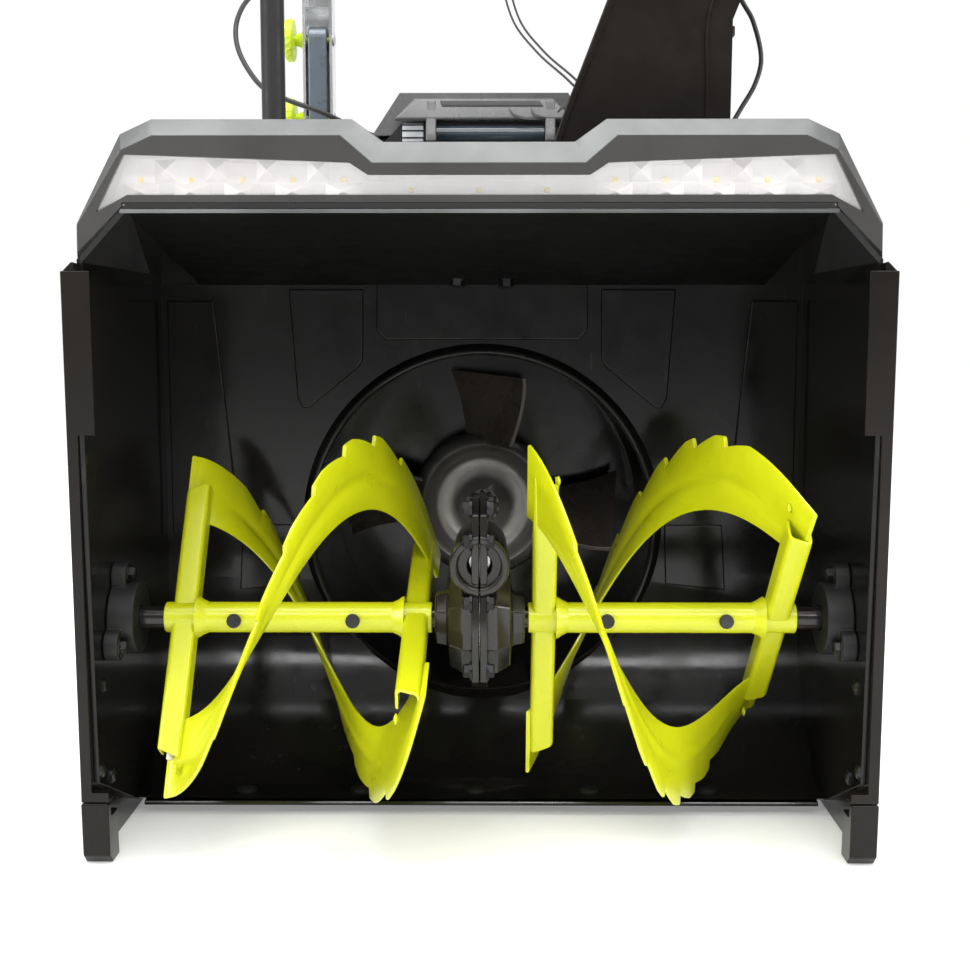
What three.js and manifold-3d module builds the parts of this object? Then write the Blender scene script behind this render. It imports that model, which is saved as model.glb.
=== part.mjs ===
// A battery-powered two-stage snow blower, about 1.4 m long, built as a scene graph of named solids.
// Units are millimetres, +Z is up, +X is the operator's left and -Y is the way it drives.
// The origin is on the ground under the middle of the machine.
import * as THREE from "three";
import { mergeVertices } from "three/addons/utils/BufferGeometryUtils.js";
import Module from "manifold-3d";

const wasm = await Module();
wasm.setup();

// ---- Driving dimensions ----
const AUGER_Y = -546; // the auger's axis, ahead of the middle
const AUGER_Z = 189; // the auger's axis above the ground
const AUGER_R = 152.4; // a 12 inch auger
const CLEARING_HALF = 305; // half of the 24 inch clearing width
const GAP = 0.3; // between pieces that touch
const RUN = 0.5; // around a piece that turns
const WALL = 4; // moulded housing wall
const BACK_Y = AUGER_Y + 193; // front face of the intake's back wall
const FLOOR_R = 193; // radius of the curved floor about the auger's axis
const LIP_Y = AUGER_Y - 74; // the intake's front lip
const LIP_Z = 519;
const BACK_TOP_Z = 471;
const FLOOR_Z = AUGER_Z - 171; // top of the floor plate at its front edge
const FLOOR_EDGE_Y = AUGER_Y + 52;
const CORNER = 790; // |x| + z on the outside of the intake's top corner bevels
const ROTOR_Z = AUGER_Z + 52; // the impeller's axis
const DRUM_R = 164;
const DRUM_BACK_Y = -143;
const SHAFT_R = 9.5;
const CHUTE_X = 135;
const CHUTE_Y = -265;
const AXLE_Y = 40;
const WHEEL_R = 190;
const WHEEL_W = 104;
const WHEEL_X = 230;
const HANDLE_X = 187;
const PIVOT_Y = -76;
const PIVOT_Z = 752;
const LOCK_Z = 665; // the lower clamp bolt of each handle side
const GRIP_Z = 1010;
const GRIP_END_Y = 698.4;

// ---- Finishes ----
const finish = (color, roughness, metalness) => new THREE.MeshStandardMaterial({ color, roughness, metalness });
const BLACK_GLOSS = finish(0x17181a, 0.25, 0);
const BLACK_MATTE = finish(0x222426, 0.7, 0);
const DARK_GREY = finish(0x454648, 0.5, 0);
const GREY = finish(0x8b8d8f, 0.5, 0);
const WHITE = finish(0xf0efec, 0.3, 0);
const CLEAR = finish(0xf7f7f7, 0.1, 0);
const LIME = finish(0xc9d92b, 0.35, 0.1);
const STEEL = finish(0xa9adb0, 0.3, 1);
const CAST = finish(0x3a3c3e, 0.45, 0.8);
const SLATE = finish(0x5d666d, 0.35, 0.6);
const RUBBER = finish(0x1b1b1b, 0.9, 0);
const PALE_SHEATH = finish(0xc9cacb, 0.5, 0);

// ---- Solid helpers ----
function solid(geometry) {
  const bare = geometry.clone();
  bare.deleteAttribute("normal");
  bare.deleteAttribute("uv");
  const merged = mergeVertices(bare, 1e-3);
  return new wasm.Manifold(
    new wasm.Mesh({
      numProp: 3,
      vertProperties: new Float32Array(merged.attributes.position.array),
      triVerts: new Uint32Array(merged.index.array),
    }),
  );
}

function geometryOf(body) {
  const made = body.getMesh();
  const positions = new Float32Array(made.numVert * 3);
  for (let i = 0; i < made.numVert; i++) {
    positions.set(made.vertProperties.subarray(i * made.numProp, i * made.numProp + 3), i * 3);
  }
  const geometry = new THREE.BufferGeometry();
  geometry.setAttribute("position", new THREE.BufferAttribute(positions, 3));
  geometry.setIndex(new THREE.BufferAttribute(new Uint32Array(made.triVerts), 1));
  return geometry;
}

const join = (first, ...rest) => rest.reduce((whole, piece) => whole.add(piece), first);
const cut = (first, ...rest) => rest.reduce((whole, piece) => whole.subtract(piece), first);

const X = new THREE.Vector3(1, 0, 0);
const Y = new THREE.Vector3(0, 1, 0);
const Z = new THREE.Vector3(0, 0, 1);

// A block between two corners.
function block(x0, x1, y0, y1, z0, z1) {
  const box = new THREE.BoxGeometry(x1 - x0, y1 - y0, z1 - z0);
  return solid(box.translate((x0 + x1) / 2, (y0 + y1) / 2, (z0 + z1) / 2));
}

// A round bar from one point to another, with a second radius for a cone.
function rod(from, to, radius, sides = 18, endRadius = radius) {
  const start = new THREE.Vector3(...from);
  const end = new THREE.Vector3(...to);
  const way = end.clone().sub(start);
  const bar = new THREE.CylinderGeometry(endRadius, radius, way.length(), sides);
  bar.applyQuaternion(new THREE.Quaternion().setFromUnitVectors(Y, way.clone().normalize()));
  return solid(bar.translate(...start.add(end).multiplyScalar(0.5).toArray()));
}

const outline = (points) => new THREE.Shape(points.map(([u, v]) => new THREE.Vector2(u, v)));
const sweep = (points, depth) =>
  new THREE.ExtrudeGeometry(outline(points), { depth, bevelEnabled: false, steps: 1 });

// A side outline of (y, z) points, carried from x0 to x1.
function acrossX(points, x0, x1) {
  const turned = sweep(points, x1 - x0).applyMatrix4(new THREE.Matrix4().makeBasis(Y, Z, X));
  return solid(turned.translate(x0, 0, 0));
}

// A front outline of (x, z) points, carried from y0 to y1.
function alongY(points, y0, y1) {
  const turned = sweep(points, y1 - y0).applyMatrix4(
    new THREE.Matrix4().makeBasis(X, Z, Y.clone().negate()),
  );
  return solid(turned.translate(0, y1, 0));
}

// A ring turned about an axis through a centre; its profile is (radius, distance along the axis) points.
function turned(profile, centre, axis) {
  const points = profile.map(([r, h]) => new THREE.Vector2(r, h));
  const ring = new THREE.LatheGeometry([...points, points[0]], 24);
  ring.applyQuaternion(new THREE.Quaternion().setFromUnitVectors(Y, axis));
  return solid(ring.translate(...centre));
}

// A round tube or cable along a smooth curve.
function hose(points, radius, steps, sides = 8) {
  const section = outline(
    Array.from({ length: sides }, (_, i) => {
      const a = (2 * Math.PI * i) / sides;
      return [radius * Math.cos(a), radius * Math.sin(a)];
    }),
  );
  const route = new THREE.CatmullRomCurve3(points.map((p) => new THREE.Vector3(...p)));
  return solid(new THREE.ExtrudeGeometry(section, { steps, extrudePath: route, bevelEnabled: false }));
}

const mirrorPoints = (points) => [...points, ...points.map(([x, z]) => [-x, z]).reverse()];

const machine = new THREE.Group();

function add(name, body, material) {
  const mesh = new THREE.Mesh(geometryOf(body), material);
  mesh.name = name;
  machine.add(mesh);
}

const SIDES = [
  ["left", 1],
  ["right", -1],
];

// ---- Intake: the moulded housing that the auger turns in ----
// Height of the ceiling's inside, which falls towards the back.
const ceilingZ = (y) => BACK_TOP_Z + ((BACK_Y - y) * (LIP_Z - BACK_TOP_Z)) / (BACK_Y - LIP_Y);

// The side outline of the intake's inside, grown outwards by a margin.
function intakeOutline(margin, frontTop, frontFloor) {
  const points = [
    [frontTop, ceilingZ(frontTop) + margin],
    [BACK_Y + margin, ceilingZ(BACK_Y + margin) + margin],
  ];
  const floorAngle = Math.asin((AUGER_Z - FLOOR_Z) / FLOOR_R);
  const arcSteps = 7;
  for (let i = 0; i <= arcSteps; i++) {
    const a = (floorAngle * i) / arcSteps;
    points.push([
      AUGER_Y + (FLOOR_R + margin) * Math.cos(a),
      AUGER_Z - (FLOOR_R + margin) * Math.sin(a),
    ]);
  }
  points.push([frontFloor, FLOOR_Z - margin]);
  return points.reverse();
}

const cornerBevel = (halfWidth, sum) =>
  mirrorPoints([
    [halfWidth, -10],
    [halfWidth, sum - halfWidth],
    [sum - 600, 600],
  ]);

function intakeSpace() {
  const inside = acrossX(intakeOutline(0, LIP_Y - 90, AUGER_Y - 260), -CLEARING_HALF, CLEARING_HALF);
  return inside.intersect(alongY(cornerBevel(CLEARING_HALF, CORNER - 6), LIP_Y - 200, BACK_Y + 5));
}

function augerHousing() {
  const half = CLEARING_HALF + WALL;
  const outside = acrossX(intakeOutline(WALL, LIP_Y, FLOOR_EDGE_Y), -half, half).intersect(
    alongY(cornerBevel(half, CORNER), LIP_Y - 10, BACK_Y + 10),
  );
  const sideWalls = acrossX(
    [
      [LIP_Y + 14, 66],
      [FLOOR_EDGE_Y, FLOOR_Z - WALL],
      [BACK_Y - 60, FLOOR_Z + 40],
      [BACK_Y + WALL, AUGER_Z],
      [BACK_Y + WALL, BACK_TOP_Z - 60],
      [LIP_Y, BACK_TOP_Z - 60],
    ],
    -half,
    half,
  );
  const space = intakeSpace();
  const mouth = rod([0, BACK_Y - 60, ROTOR_Z], [0, BACK_Y + 10, ROTOR_Z], DRUM_R, 36);
  const rim = cut(rod([0, BACK_Y - 60, ROTOR_Z], [0, BACK_Y + WALL, ROTOR_Z], DRUM_R + WALL, 36), mouth);
  return join(cut(join(outside, sideWalls), space, mouth), cut(rim, space));
}

// Outer side plate with stepped ribs and a rounded nose along its front edge.
function sideGuard(side) {
  const base = CLEARING_HALF + WALL + GAP;
  const low = 315;
  const high = 318;
  const rib = 318;
  const profile = [
    [base, 52],
    [low, 52],
    [low, 57],
    [rib, 62],
    [rib, 80],
    [low, 85],
    [low, 147],
    [rib, 152],
    [rib, 176],
    [low, 181],
    [low, 248],
    [rib, 253],
    [rib, 278],
    [low, 283],
    [low, 334],
    [high, 342],
    [high, CORNER - high],
    [base, CORNER - base],
  ];
  const plateOutline = [
    [LIP_Y + 10, 52],
    [BACK_Y - 72, 52],
    [BACK_Y - 12, 128],
    [BACK_Y + WALL, AUGER_Z],
    [BACK_Y + WALL, BACK_TOP_Z],
    [LIP_Y + 2, BACK_TOP_Z + 8],
  ];
  const plate = alongY(profile, LIP_Y - 5, BACK_Y + 10).intersect(acrossX(plateOutline, 300, 330));
  const nose = acrossX(
    [
      [LIP_Y - 3, CORNER - high],
      [LIP_Y + 6, 52],
      [LIP_Y + 22, 52],
      [LIP_Y + 16, 66],
      [LIP_Y - GAP, CORNER - high],
    ],
    296,
    high,
  );
  const whole = cut(join(plate, nose), block(290, base, LIP_Y - GAP, BACK_Y, 60, 480));
  return side > 0 ? whole : whole.scale([-1, 1, 1]);
}

function skidShoe(side) {
  const base = CLEARING_HALF + WALL + GAP;
  const shoe = acrossX(
    [
      [LIP_Y + 24, 51.5],
      [LIP_Y + 26, 8],
      [LIP_Y + 34, 0],
      [BACK_Y - 100, 0],
      [BACK_Y - 78, 16],
      [BACK_Y - 84, 51.5],
    ],
    base,
    318,
  );
  const toe = acrossX(
    [
      [LIP_Y + 4, 51.5],
      [LIP_Y + 6, 8],
      [LIP_Y + 14, 0],
      [LIP_Y + 34, 0],
      [LIP_Y + 30, 51.5],
    ],
    296,
    318,
  );
  const whole = cut(join(shoe, toe), block(290, base, LIP_Y + 13, BACK_Y, 40, 90));
  return side > 0 ? whole : whole.scale([-1, 1, 1]);
}

function scraperBar() {
  const top = FLOOR_Z - WALL - GAP;
  return acrossX(
    [
      [FLOOR_EDGE_Y - 5, top - 4],
      [FLOOR_EDGE_Y - 3, top],
      [FLOOR_EDGE_Y + 40, top],
      [FLOOR_EDGE_Y + 40, top - 6],
    ],
    -298,
    298,
  );
}

// ---- Light bar on the intake's front edge ----
const HOOD_BACK_Y = -452;

function hoodOutline(inset) {
  return mirrorPoints([
    [310 - inset, 440],
    [309 - inset, 509],
    [274 - inset, 576 - inset],
    [250 - inset, 587 - inset],
    [97 + inset / 2, 587 - inset],
    [73 + inset / 2, 570 - inset],
  ]);
}

function lightOpening(inset) {
  return mirrorPoints([
    [266 - inset, 529 + inset],
    [290 - 2 * inset, 517 + inset],
    [272 - inset, 562 - inset],
    [98, 553 - inset],
    [84, 544 - inset],
  ]);
}

function lightHood() {
  const shell = cut(
    alongY(hoodOutline(0), LIP_Y, HOOD_BACK_Y),
    alongY(hoodOutline(WALL), LIP_Y + WALL, HOOD_BACK_Y - WALL),
    alongY(lightOpening(0), LIP_Y - 5, LIP_Y + WALL + 1),
  );
  const front = LIP_Y - 20;
  const back = BACK_Y + 20;
  const underside = acrossX(
    [
      [front, 400],
      [back, 400],
      [back, ceilingZ(back) + WALL + GAP],
      [front, ceilingZ(front) + WALL + GAP],
    ],
    -400,
    400,
  ).intersect(alongY(cornerBevel(330, CORNER + 2 * GAP), front, back));
  return cut(shell, underside);
}

const lightReflector = () => alongY(lightOpening(2), LIP_Y + 20, LIP_Y + 24);
const lightLens = () => alongY(lightOpening(0.4), LIP_Y + 0.5, LIP_Y + 3);

// ---- Auger ----
function bearing(side) {
  const inner = CLEARING_HALF - 22;
  const outer = CLEARING_HALF - GAP;
  const cap = rod([inner, AUGER_Y, AUGER_Z], [outer, AUGER_Y, AUGER_Z], 30, 24);
  const lobes = [0, 1, 2].map((i) => {
    const a = (2 * Math.PI * i) / 3 + Math.PI / 2;
    const y = AUGER_Y + 34 * Math.cos(a);
    const z = AUGER_Z + 34 * Math.sin(a);
    return rod([outer - 12, y, z], [outer, y, z], 13, 16);
  });
  const bore = rod([inner - 5, AUGER_Y, AUGER_Z], [outer + 5, AUGER_Y, AUGER_Z], SHAFT_R + RUN, 16);
  const whole = cut(join(cap, ...lobes), bore);
  return side > 0 ? whole : whole.scale([-1, 1, 1]);
}

const augerShaft = () =>
  rod([-CLEARING_HALF + 4, AUGER_Y, AUGER_Z], [CLEARING_HALF - 4, AUGER_Y, AUGER_Z], SHAFT_R, 16);

const TUBE_R = 12.7;
const TUBE_IN = 40;
const TUBE_OUT = 262;
const PIN_X = [105, 203];
const ARM_IN = 53;
const ARM_OUT = 246;
const ARM_WIDE = 20;
const ARM_DEEP = 18;
const ARM_LONG = 244;
const RIBBON_INNER_R = 90;
const RIBBON_THICK = 3.2;
const TOOTH = 2.6;

// A flat strip bent into a helix that quickens inwards, with saw teeth along the middle of its outer edge.
function ribbon({ from, to, power }, angles, half) {
  const steps = 36;
  const strip = new THREE.BoxGeometry(steps, 1, 1, steps, 1, 1);
  const at = strip.attributes.position;
  for (let i = 0; i < at.count; i++) {
    const step = Math.round(at.getX(i) + steps / 2);
    const share = step / steps;
    const angle = half + angles[0] + (angles[1] - angles[0]) * (1 - Math.pow(1 - share, power));
    const toothed = share > 0.16 && share < 0.7 ? (3 - (step % 4)) * TOOTH : 0;
    const radius = at.getY(i) > 0 ? AUGER_R - toothed : RIBBON_INNER_R;
    const x = from + (to - from) * share - RIBBON_THICK * at.getZ(i);
    at.setXYZ(i, x, AUGER_Y - radius * Math.sin(angle), AUGER_Z + radius * Math.cos(angle));
  }
  return solid(strip);
}

// A pressed steel arm through the tube, at an angle about the auger's axis.
function augerArm(x, angle) {
  const arm = new THREE.BoxGeometry(ARM_WIDE, ARM_DEEP, ARM_LONG);
  return solid(arm.rotateX(angle).translate(x, AUGER_Y, AUGER_Z));
}

function augerHalf(side, { angles, ribbons }) {
  const tube = rod([TUBE_IN, AUGER_Y, AUGER_Z], [TUBE_OUT, AUGER_Y, AUGER_Z], TUBE_R, 16);
  const bore = rod([TUBE_IN - 5, AUGER_Y, AUGER_Z], [TUBE_OUT + 5, AUGER_Y, AUGER_Z], SHAFT_R + GAP, 16);
  const pinHoles = PIN_X.map((x) =>
    rod([x, AUGER_Y - 30, AUGER_Z], [x, AUGER_Y + 30, AUGER_Z], 3.5, 12),
  );
  const whole = cut(
    join(
      tube,
      augerArm(ARM_IN, angles[0]),
      augerArm(ARM_OUT, angles[1]),
      ...ribbons.map((one, i) => ribbon(one, angles, i * Math.PI)),
    ),
    bore,
    ...pinHoles,
  );
  return side > 0 ? whole : whole.scale([-1, 1, 1]);
}

const drilledShaft = () =>
  cut(
    augerShaft(),
    ...PIN_X.flatMap((x) => [x, -x]).map((x) =>
      rod([x, AUGER_Y - 30, AUGER_Z], [x, AUGER_Y + 30, AUGER_Z], 3.5, 12),
    ),
  );

function shearPin(x) {
  const shank = rod([x, AUGER_Y - 16, AUGER_Z], [x, AUGER_Y + 17, AUGER_Z], 3.2, 12);
  const head = rod([x, AUGER_Y - 18, AUGER_Z], [x, AUGER_Y - TUBE_R - GAP, AUGER_Z], 6, 12);
  return join(shank, head);
}

// ---- Gearbox in the middle of the auger ----
const WORM_WHEEL_R = 37.5;
const WORM_R = 14;
const GEARBOX_FRONT = AUGER_Y - 47;

function gearboxHalf(side) {
  const body = rod([0, AUGER_Y, AUGER_Z], [26, AUGER_Y, AUGER_Z], 46, 20);
  const boss = rod([0, AUGER_Y, AUGER_Z], [37, AUGER_Y, AUGER_Z], 22, 20);
  const barrel = rod([0, GEARBOX_FRONT, ROTOR_Z], [0, AUGER_Y + 70, ROTOR_Z], 24, 20);
  const flange = acrossX(
    [
      [AUGER_Y - 52, AUGER_Z - 34],
      [AUGER_Y - 20, AUGER_Z - 54],
      [AUGER_Y + 30, AUGER_Z - 54],
      [AUGER_Y + 72, AUGER_Z],
      [AUGER_Y + 72, AUGER_Z + 88],
      [AUGER_Y - 30, AUGER_Z + 104],
      [AUGER_Y - 46, AUGER_Z + 90],
    ],
    0,
    7,
  );
  const hollows = [
    rod([-20, AUGER_Y, AUGER_Z], [14, AUGER_Y, AUGER_Z], WORM_WHEEL_R + 3, 24),
    rod([0, AUGER_Y - 34, ROTOR_Z], [0, AUGER_Y + 60, ROTOR_Z], WORM_R + 3, 20),
    rod([0, AUGER_Y, ROTOR_Z], [0, AUGER_Y + 90, ROTOR_Z], SHAFT_R + RUN, 16),
    rod([-50, AUGER_Y, AUGER_Z], [50, AUGER_Y, AUGER_Z], SHAFT_R + RUN, 16),
    block(-60, GAP / 2, AUGER_Y - 120, AUGER_Y + 120, 60, 360),
  ];
  const whole = cut(join(body, boss, barrel, flange), ...hollows);
  return side > 0 ? whole : whole.scale([-1, 1, 1]);
}

function wormWheel() {
  const wheel = rod([-10, AUGER_Y, AUGER_Z], [10, AUGER_Y, AUGER_Z], WORM_WHEEL_R, 24);
  return cut(wheel, rod([-15, AUGER_Y, AUGER_Z], [15, AUGER_Y, AUGER_Z], SHAFT_R + GAP, 16));
}

const IMPELLER_Y = -205;

function impellerShaft() {
  const shaft = rod([0, AUGER_Y - 30, ROTOR_Z], [0, -60, ROTOR_Z], SHAFT_R, 20);
  return join(shaft, rod([0, AUGER_Y - 26, ROTOR_Z], [0, AUGER_Y + 26, ROTOR_Z], WORM_R, 20));
}

function impeller() {
  const hub = rod([0, IMPELLER_Y - 10, ROTOR_Z], [0, IMPELLER_Y + 48, ROTOR_Z], 26, 24);
  const dish = rod([0, IMPELLER_Y + 4, ROTOR_Z], [0, IMPELLER_Y + 12, ROTOR_Z], 62, 32);
  const blades = [0, 1, 2, 3].map((i) => {
    const blade = new THREE.BoxGeometry(112, 118, 4).translate(96, 0, 0).rotateX(0.22);
    blade.rotateY((i * Math.PI) / 2 + 0.5);
    return solid(blade.translate(0, IMPELLER_Y - 12, ROTOR_Z));
  });
  const bore = rod([0, IMPELLER_Y - 90, ROTOR_Z], [0, IMPELLER_Y + 90, ROTOR_Z], SHAFT_R + GAP, 20);
  const sweepRing = rod([0, IMPELLER_Y - 90, ROTOR_Z], [0, IMPELLER_Y + 60, ROTOR_Z], 153, 48);
  return cut(join(hub, dish, ...blades), bore).intersect(sweepRing);
}

// ---- Impeller drum, with the spout that the chute stands on ----
function impellerDrum() {
  const front = BACK_Y + WALL + GAP;
  const outerPieces = [
    rod([0, front, ROTOR_Z], [0, DRUM_BACK_Y, ROTOR_Z], DRUM_R + WALL, 36),
    alongY(
      [
        [36, 300],
        [172, 232],
        [234, 400],
        [234, 476],
        [36, 476],
      ],
      -345,
      -185,
    ),
    rod([CHUTE_X, CHUTE_Y, 474], [CHUTE_X, CHUTE_Y, 492], 82, 32),
  ];
  const innerPieces = [
    rod([0, front - 5, ROTOR_Z], [0, DRUM_BACK_Y - WALL, ROTOR_Z], DRUM_R, 36),
    alongY(
      [
        [40, 300],
        [160, 236],
        [230, 403],
        [230, 472],
        [40, 472],
      ],
      -341,
      -189,
    ),
    rod([CHUTE_X, CHUTE_Y, 460], [CHUTE_X, CHUTE_Y, 500], 74, 32),
    rod([0, DRUM_BACK_Y - 20, ROTOR_Z], [0, DRUM_BACK_Y + 20, ROTOR_Z], SHAFT_R + RUN, 16),
  ];
  return cut(join(...outerPieces), ...innerPieces);
}

// ---- Discharge chute ----
const CHUTE_OUTSIDE = [
  [36, 500],
  [234, 500],
  [235.4, 646],
  [235.4, 717],
  [253.8, 763],
  [283, 832],
  [200, 896],
  [162, 838],
  [128, 763],
  [73.7, 622.7],
];
const CHUTE_INSIDE = [
  [39, 503],
  [231, 503],
  [232.4, 646],
  [232.4, 717],
  [250.8, 763],
  [284, 842],
  [214, 905],
  [198, 892],
  [165, 838],
  [131, 763],
  [76.7, 622.7],
];

function chute() {
  const half = 76;
  const shell = join(
    alongY(CHUTE_OUTSIDE, CHUTE_Y - half, CHUTE_Y + half),
    rod([CHUTE_X, CHUTE_Y, 479], [CHUTE_X, CHUTE_Y, 503], 100, 40),
    ...[-1, 1].map((s) => rod([206, CHUTE_Y + s * half, 874], [206, CHUTE_Y + s * (half + 8), 874], 5, 12)),
  );
  const space = alongY(CHUTE_INSIDE, CHUTE_Y - half + 3, CHUTE_Y + half - 3);
  const seat = rod([CHUTE_X, CHUTE_Y, 470], [CHUTE_X, CHUTE_Y, 495], 84, 40);
  const throat = rod([CHUTE_X, CHUTE_Y, 470], [CHUTE_X, CHUTE_Y, 510], 74, 40);
  return cut(shell, space, seat, throat);
}

function deflector() {
  const half = 80;
  const hood = alongY(
    [
      [198, 862],
      [216, 862],
      [306, 905],
      [314, 962],
      [280, 966],
      [232, 946],
      [190, 904],
      [184, 884],
    ],
    CHUTE_Y - half,
    CHUTE_Y + half,
  );
  const space = alongY(
    [
      [190, 850],
      [330, 890],
      [330, 959],
      [281, 963],
      [234, 943],
      [193, 902],
      [187.5, 884],
    ],
    CHUTE_Y - half + 2.5,
    CHUTE_Y + half - 2.5,
  );
  const pinHole = rod([206, CHUTE_Y - 100, 874], [206, CHUTE_Y + 100, 874], 5.5, 12);
  const cableLug = block(266, 278, CHUTE_Y + half, CHUTE_Y + half + 9, 893, 902);
  return join(cut(hood, space, pinHole), cableLug);
}

const chutePinion = () => rod([CHUTE_X - 114.8, CHUTE_Y, 480], [CHUTE_X - 114.8, CHUTE_Y, 498], 14, 16);
const chuteMotor = () => rod([CHUTE_X - 117.5, CHUTE_Y, 409], [CHUTE_X - 117.5, CHUTE_Y, 479], 16, 20);

// ---- Chassis, motors and wheels ----
function baseFrame() {
  const tray = cut(
    block(-140, 140, DRUM_BACK_Y + GAP, 170, 112, 328),
    block(-136, 136, DRUM_BACK_Y + WALL, 166, 116, 340),
  );
  const axleHole = rod([-160, AXLE_Y, WHEEL_R], [160, AXLE_Y, WHEEL_R], 10.5, 16);
  const shaftHole = rod([0, DRUM_BACK_Y - 10, ROTOR_Z], [0, DRUM_BACK_Y + 10, ROTOR_Z], 24, 20);
  return cut(tray, axleHole, shaftHole);
}

function augerMotor() {
  const can = rod([0, DRUM_BACK_Y + 6, ROTOR_Z], [0, -48, ROTOR_Z], 62, 28);
  return cut(can, rod([0, DRUM_BACK_Y, ROTOR_Z], [0, -55, ROTOR_Z], SHAFT_R + RUN, 16));
}

function transaxle() {
  const box = block(-60, 60, 0, 90, 130, 250);
  const motor = rod([0, 45, 240], [0, 45, 316], 40, 24);
  return cut(join(box, motor), rod([-70, AXLE_Y, WHEEL_R], [70, AXLE_Y, WHEEL_R], 10.5, 16));
}

const halfShaft = (side) =>
  rod([side * 4, AXLE_Y, WHEEL_R], [side * 292, AXLE_Y, WHEEL_R], 10, 20);

function rim(side) {
  const h = WHEEL_W / 2;
  const ring = turned(
    [
      [10.3, -h + 8],
      [24, -h + 8],
      [24, -6],
      [78, -6],
      [78, -h + 4],
      [96, -h + 4],
      [96, -h + 9],
      [84, -h + 14],
      [84, h - 14],
      [96, h - 9],
      [96, h - 4],
      [78, h - 4],
      [78, 2],
      [24, 2],
      [24, h - 4],
      [10.3, h - 4],
    ],
    [side * WHEEL_X, AXLE_Y, WHEEL_R],
    X,
  );
  return ring;
}

function tyre(side) {
  const h = WHEEL_W / 2;
  return turned(
    [
      [96.5, -h + 6],
      [140, -h],
      [176, -h + 6],
      [WHEEL_R, -h + 24],
      [WHEEL_R, h - 24],
      [176, h - 6],
      [140, h],
      [96.5, h - 6],
      [96.5, h - 9.5],
      [84.5, h - 14.5],
      [84.5, -h + 14.5],
      [96.5, -h + 9.5],
    ],
    [side * WHEEL_X, AXLE_Y, WHEEL_R],
    X,
  );
}

// ---- Rear body with the battery bay ----
const BODY_FRONT = -134;
const BODY_BACK = 92;

function bodyShell() {
  const outer = block(-121, 121, BODY_FRONT, BODY_BACK, 329, 636);
  const bay = block(-116, 116, BODY_FRONT + 5, BODY_BACK - 5, 450, 640);
  const below = block(-116, 116, BODY_FRONT + 5, BODY_BACK - 5, 320, 444);
  const hingeBarrel = rod([-60, BODY_BACK + 8, 636], [60, BODY_BACK + 8, 636], 7, 16);
  const hingeFoot = block(-60, 60, BODY_BACK - 2, BODY_BACK + 8, 622, 636);
  const whole = join(cut(outer, bay, below), hingeBarrel, hingeFoot);
  return cut(whole, rod([-70, BODY_BACK + 8, 636], [70, BODY_BACK + 8, 636], 3.5, 12));
}

const battery = (side) =>
  join(
    block(side > 0 ? 8 : -108, side > 0 ? 108 : -8, BODY_FRONT + 20, BODY_BACK - 26, 450.5, 600),
    block(side > 0 ? 38 : -78, side > 0 ? 78 : -38, BODY_FRONT + 60, BODY_BACK - 66, 599, 622),
  );

function lidOutline(inset) {
  return mirrorPoints([
    [121 - inset * 1.2, 637 - inset],
    [91 - inset * 0.6, 682 - inset],
  ]);
}

function batteryLid() {
  const shell = cut(
    alongY(lidOutline(0), BODY_FRONT - 16, BODY_BACK - 6),
    alongY(lidOutline(4), BODY_FRONT - 12, BODY_BACK - 10),
  );
  const arms = SIDES.map(([, s]) =>
    block(Math.min(s * 62, s * 80), Math.max(s * 62, s * 80), BODY_BACK - 8, BODY_BACK + 14, 637.5, 648),
  );
  const pin = rod([-80, BODY_BACK + 8, 636], [80, BODY_BACK + 8, 636], 3, 12);
  const ears = SIDES.map(([, s]) => rod([s * 62, BODY_BACK + 8, 636], [s * 80, BODY_BACK + 8, 636], 8, 16));
  return join(shell, ...arms, pin, ...ears);
}

// ---- Folding handle ----
const BOLT_R = 4;

function lowerHandle(side) {
  const x = HANDLE_X;
  const bar = block(x - 10.5, x + 10.5, PIVOT_Y - 15, PIVOT_Y + 15, 392, PIVOT_Z);
  const roundTop = rod([x - 10.5, PIVOT_Y, PIVOT_Z], [x + 10.5, PIVOT_Y, PIVOT_Z], 15, 24);
  const foot = block(140.5, x + 10.5, PIVOT_Y - 15, PIVOT_Y + 15, 392, 404);
  const strap = block(140.5, 146, PIVOT_Y - 15, PIVOT_Y + 15, 220, 404);
  const pivotHole = rod([x - 20, PIVOT_Y, PIVOT_Z], [x + 20, PIVOT_Y, PIVOT_Z], BOLT_R + RUN, 16);
  const lockHole = rod([x - 20, PIVOT_Y, LOCK_Z], [x + 20, PIVOT_Y, LOCK_Z], BOLT_R + 2, 16);
  const lockSlot = block(x - 20, x + 20, PIVOT_Y, PIVOT_Y + 20, LOCK_Z - 6, LOCK_Z + 6);
  const whole = cut(join(bar, roundTop, foot, strap), pivotHole, lockHole, lockSlot);
  return side > 0 ? whole : whole.scale([-1, 1, 1]);
}

const GRIP_X = 215;
const LEVER_Y = 545;
const LEVER_Z = GRIP_Z + 34;

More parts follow.
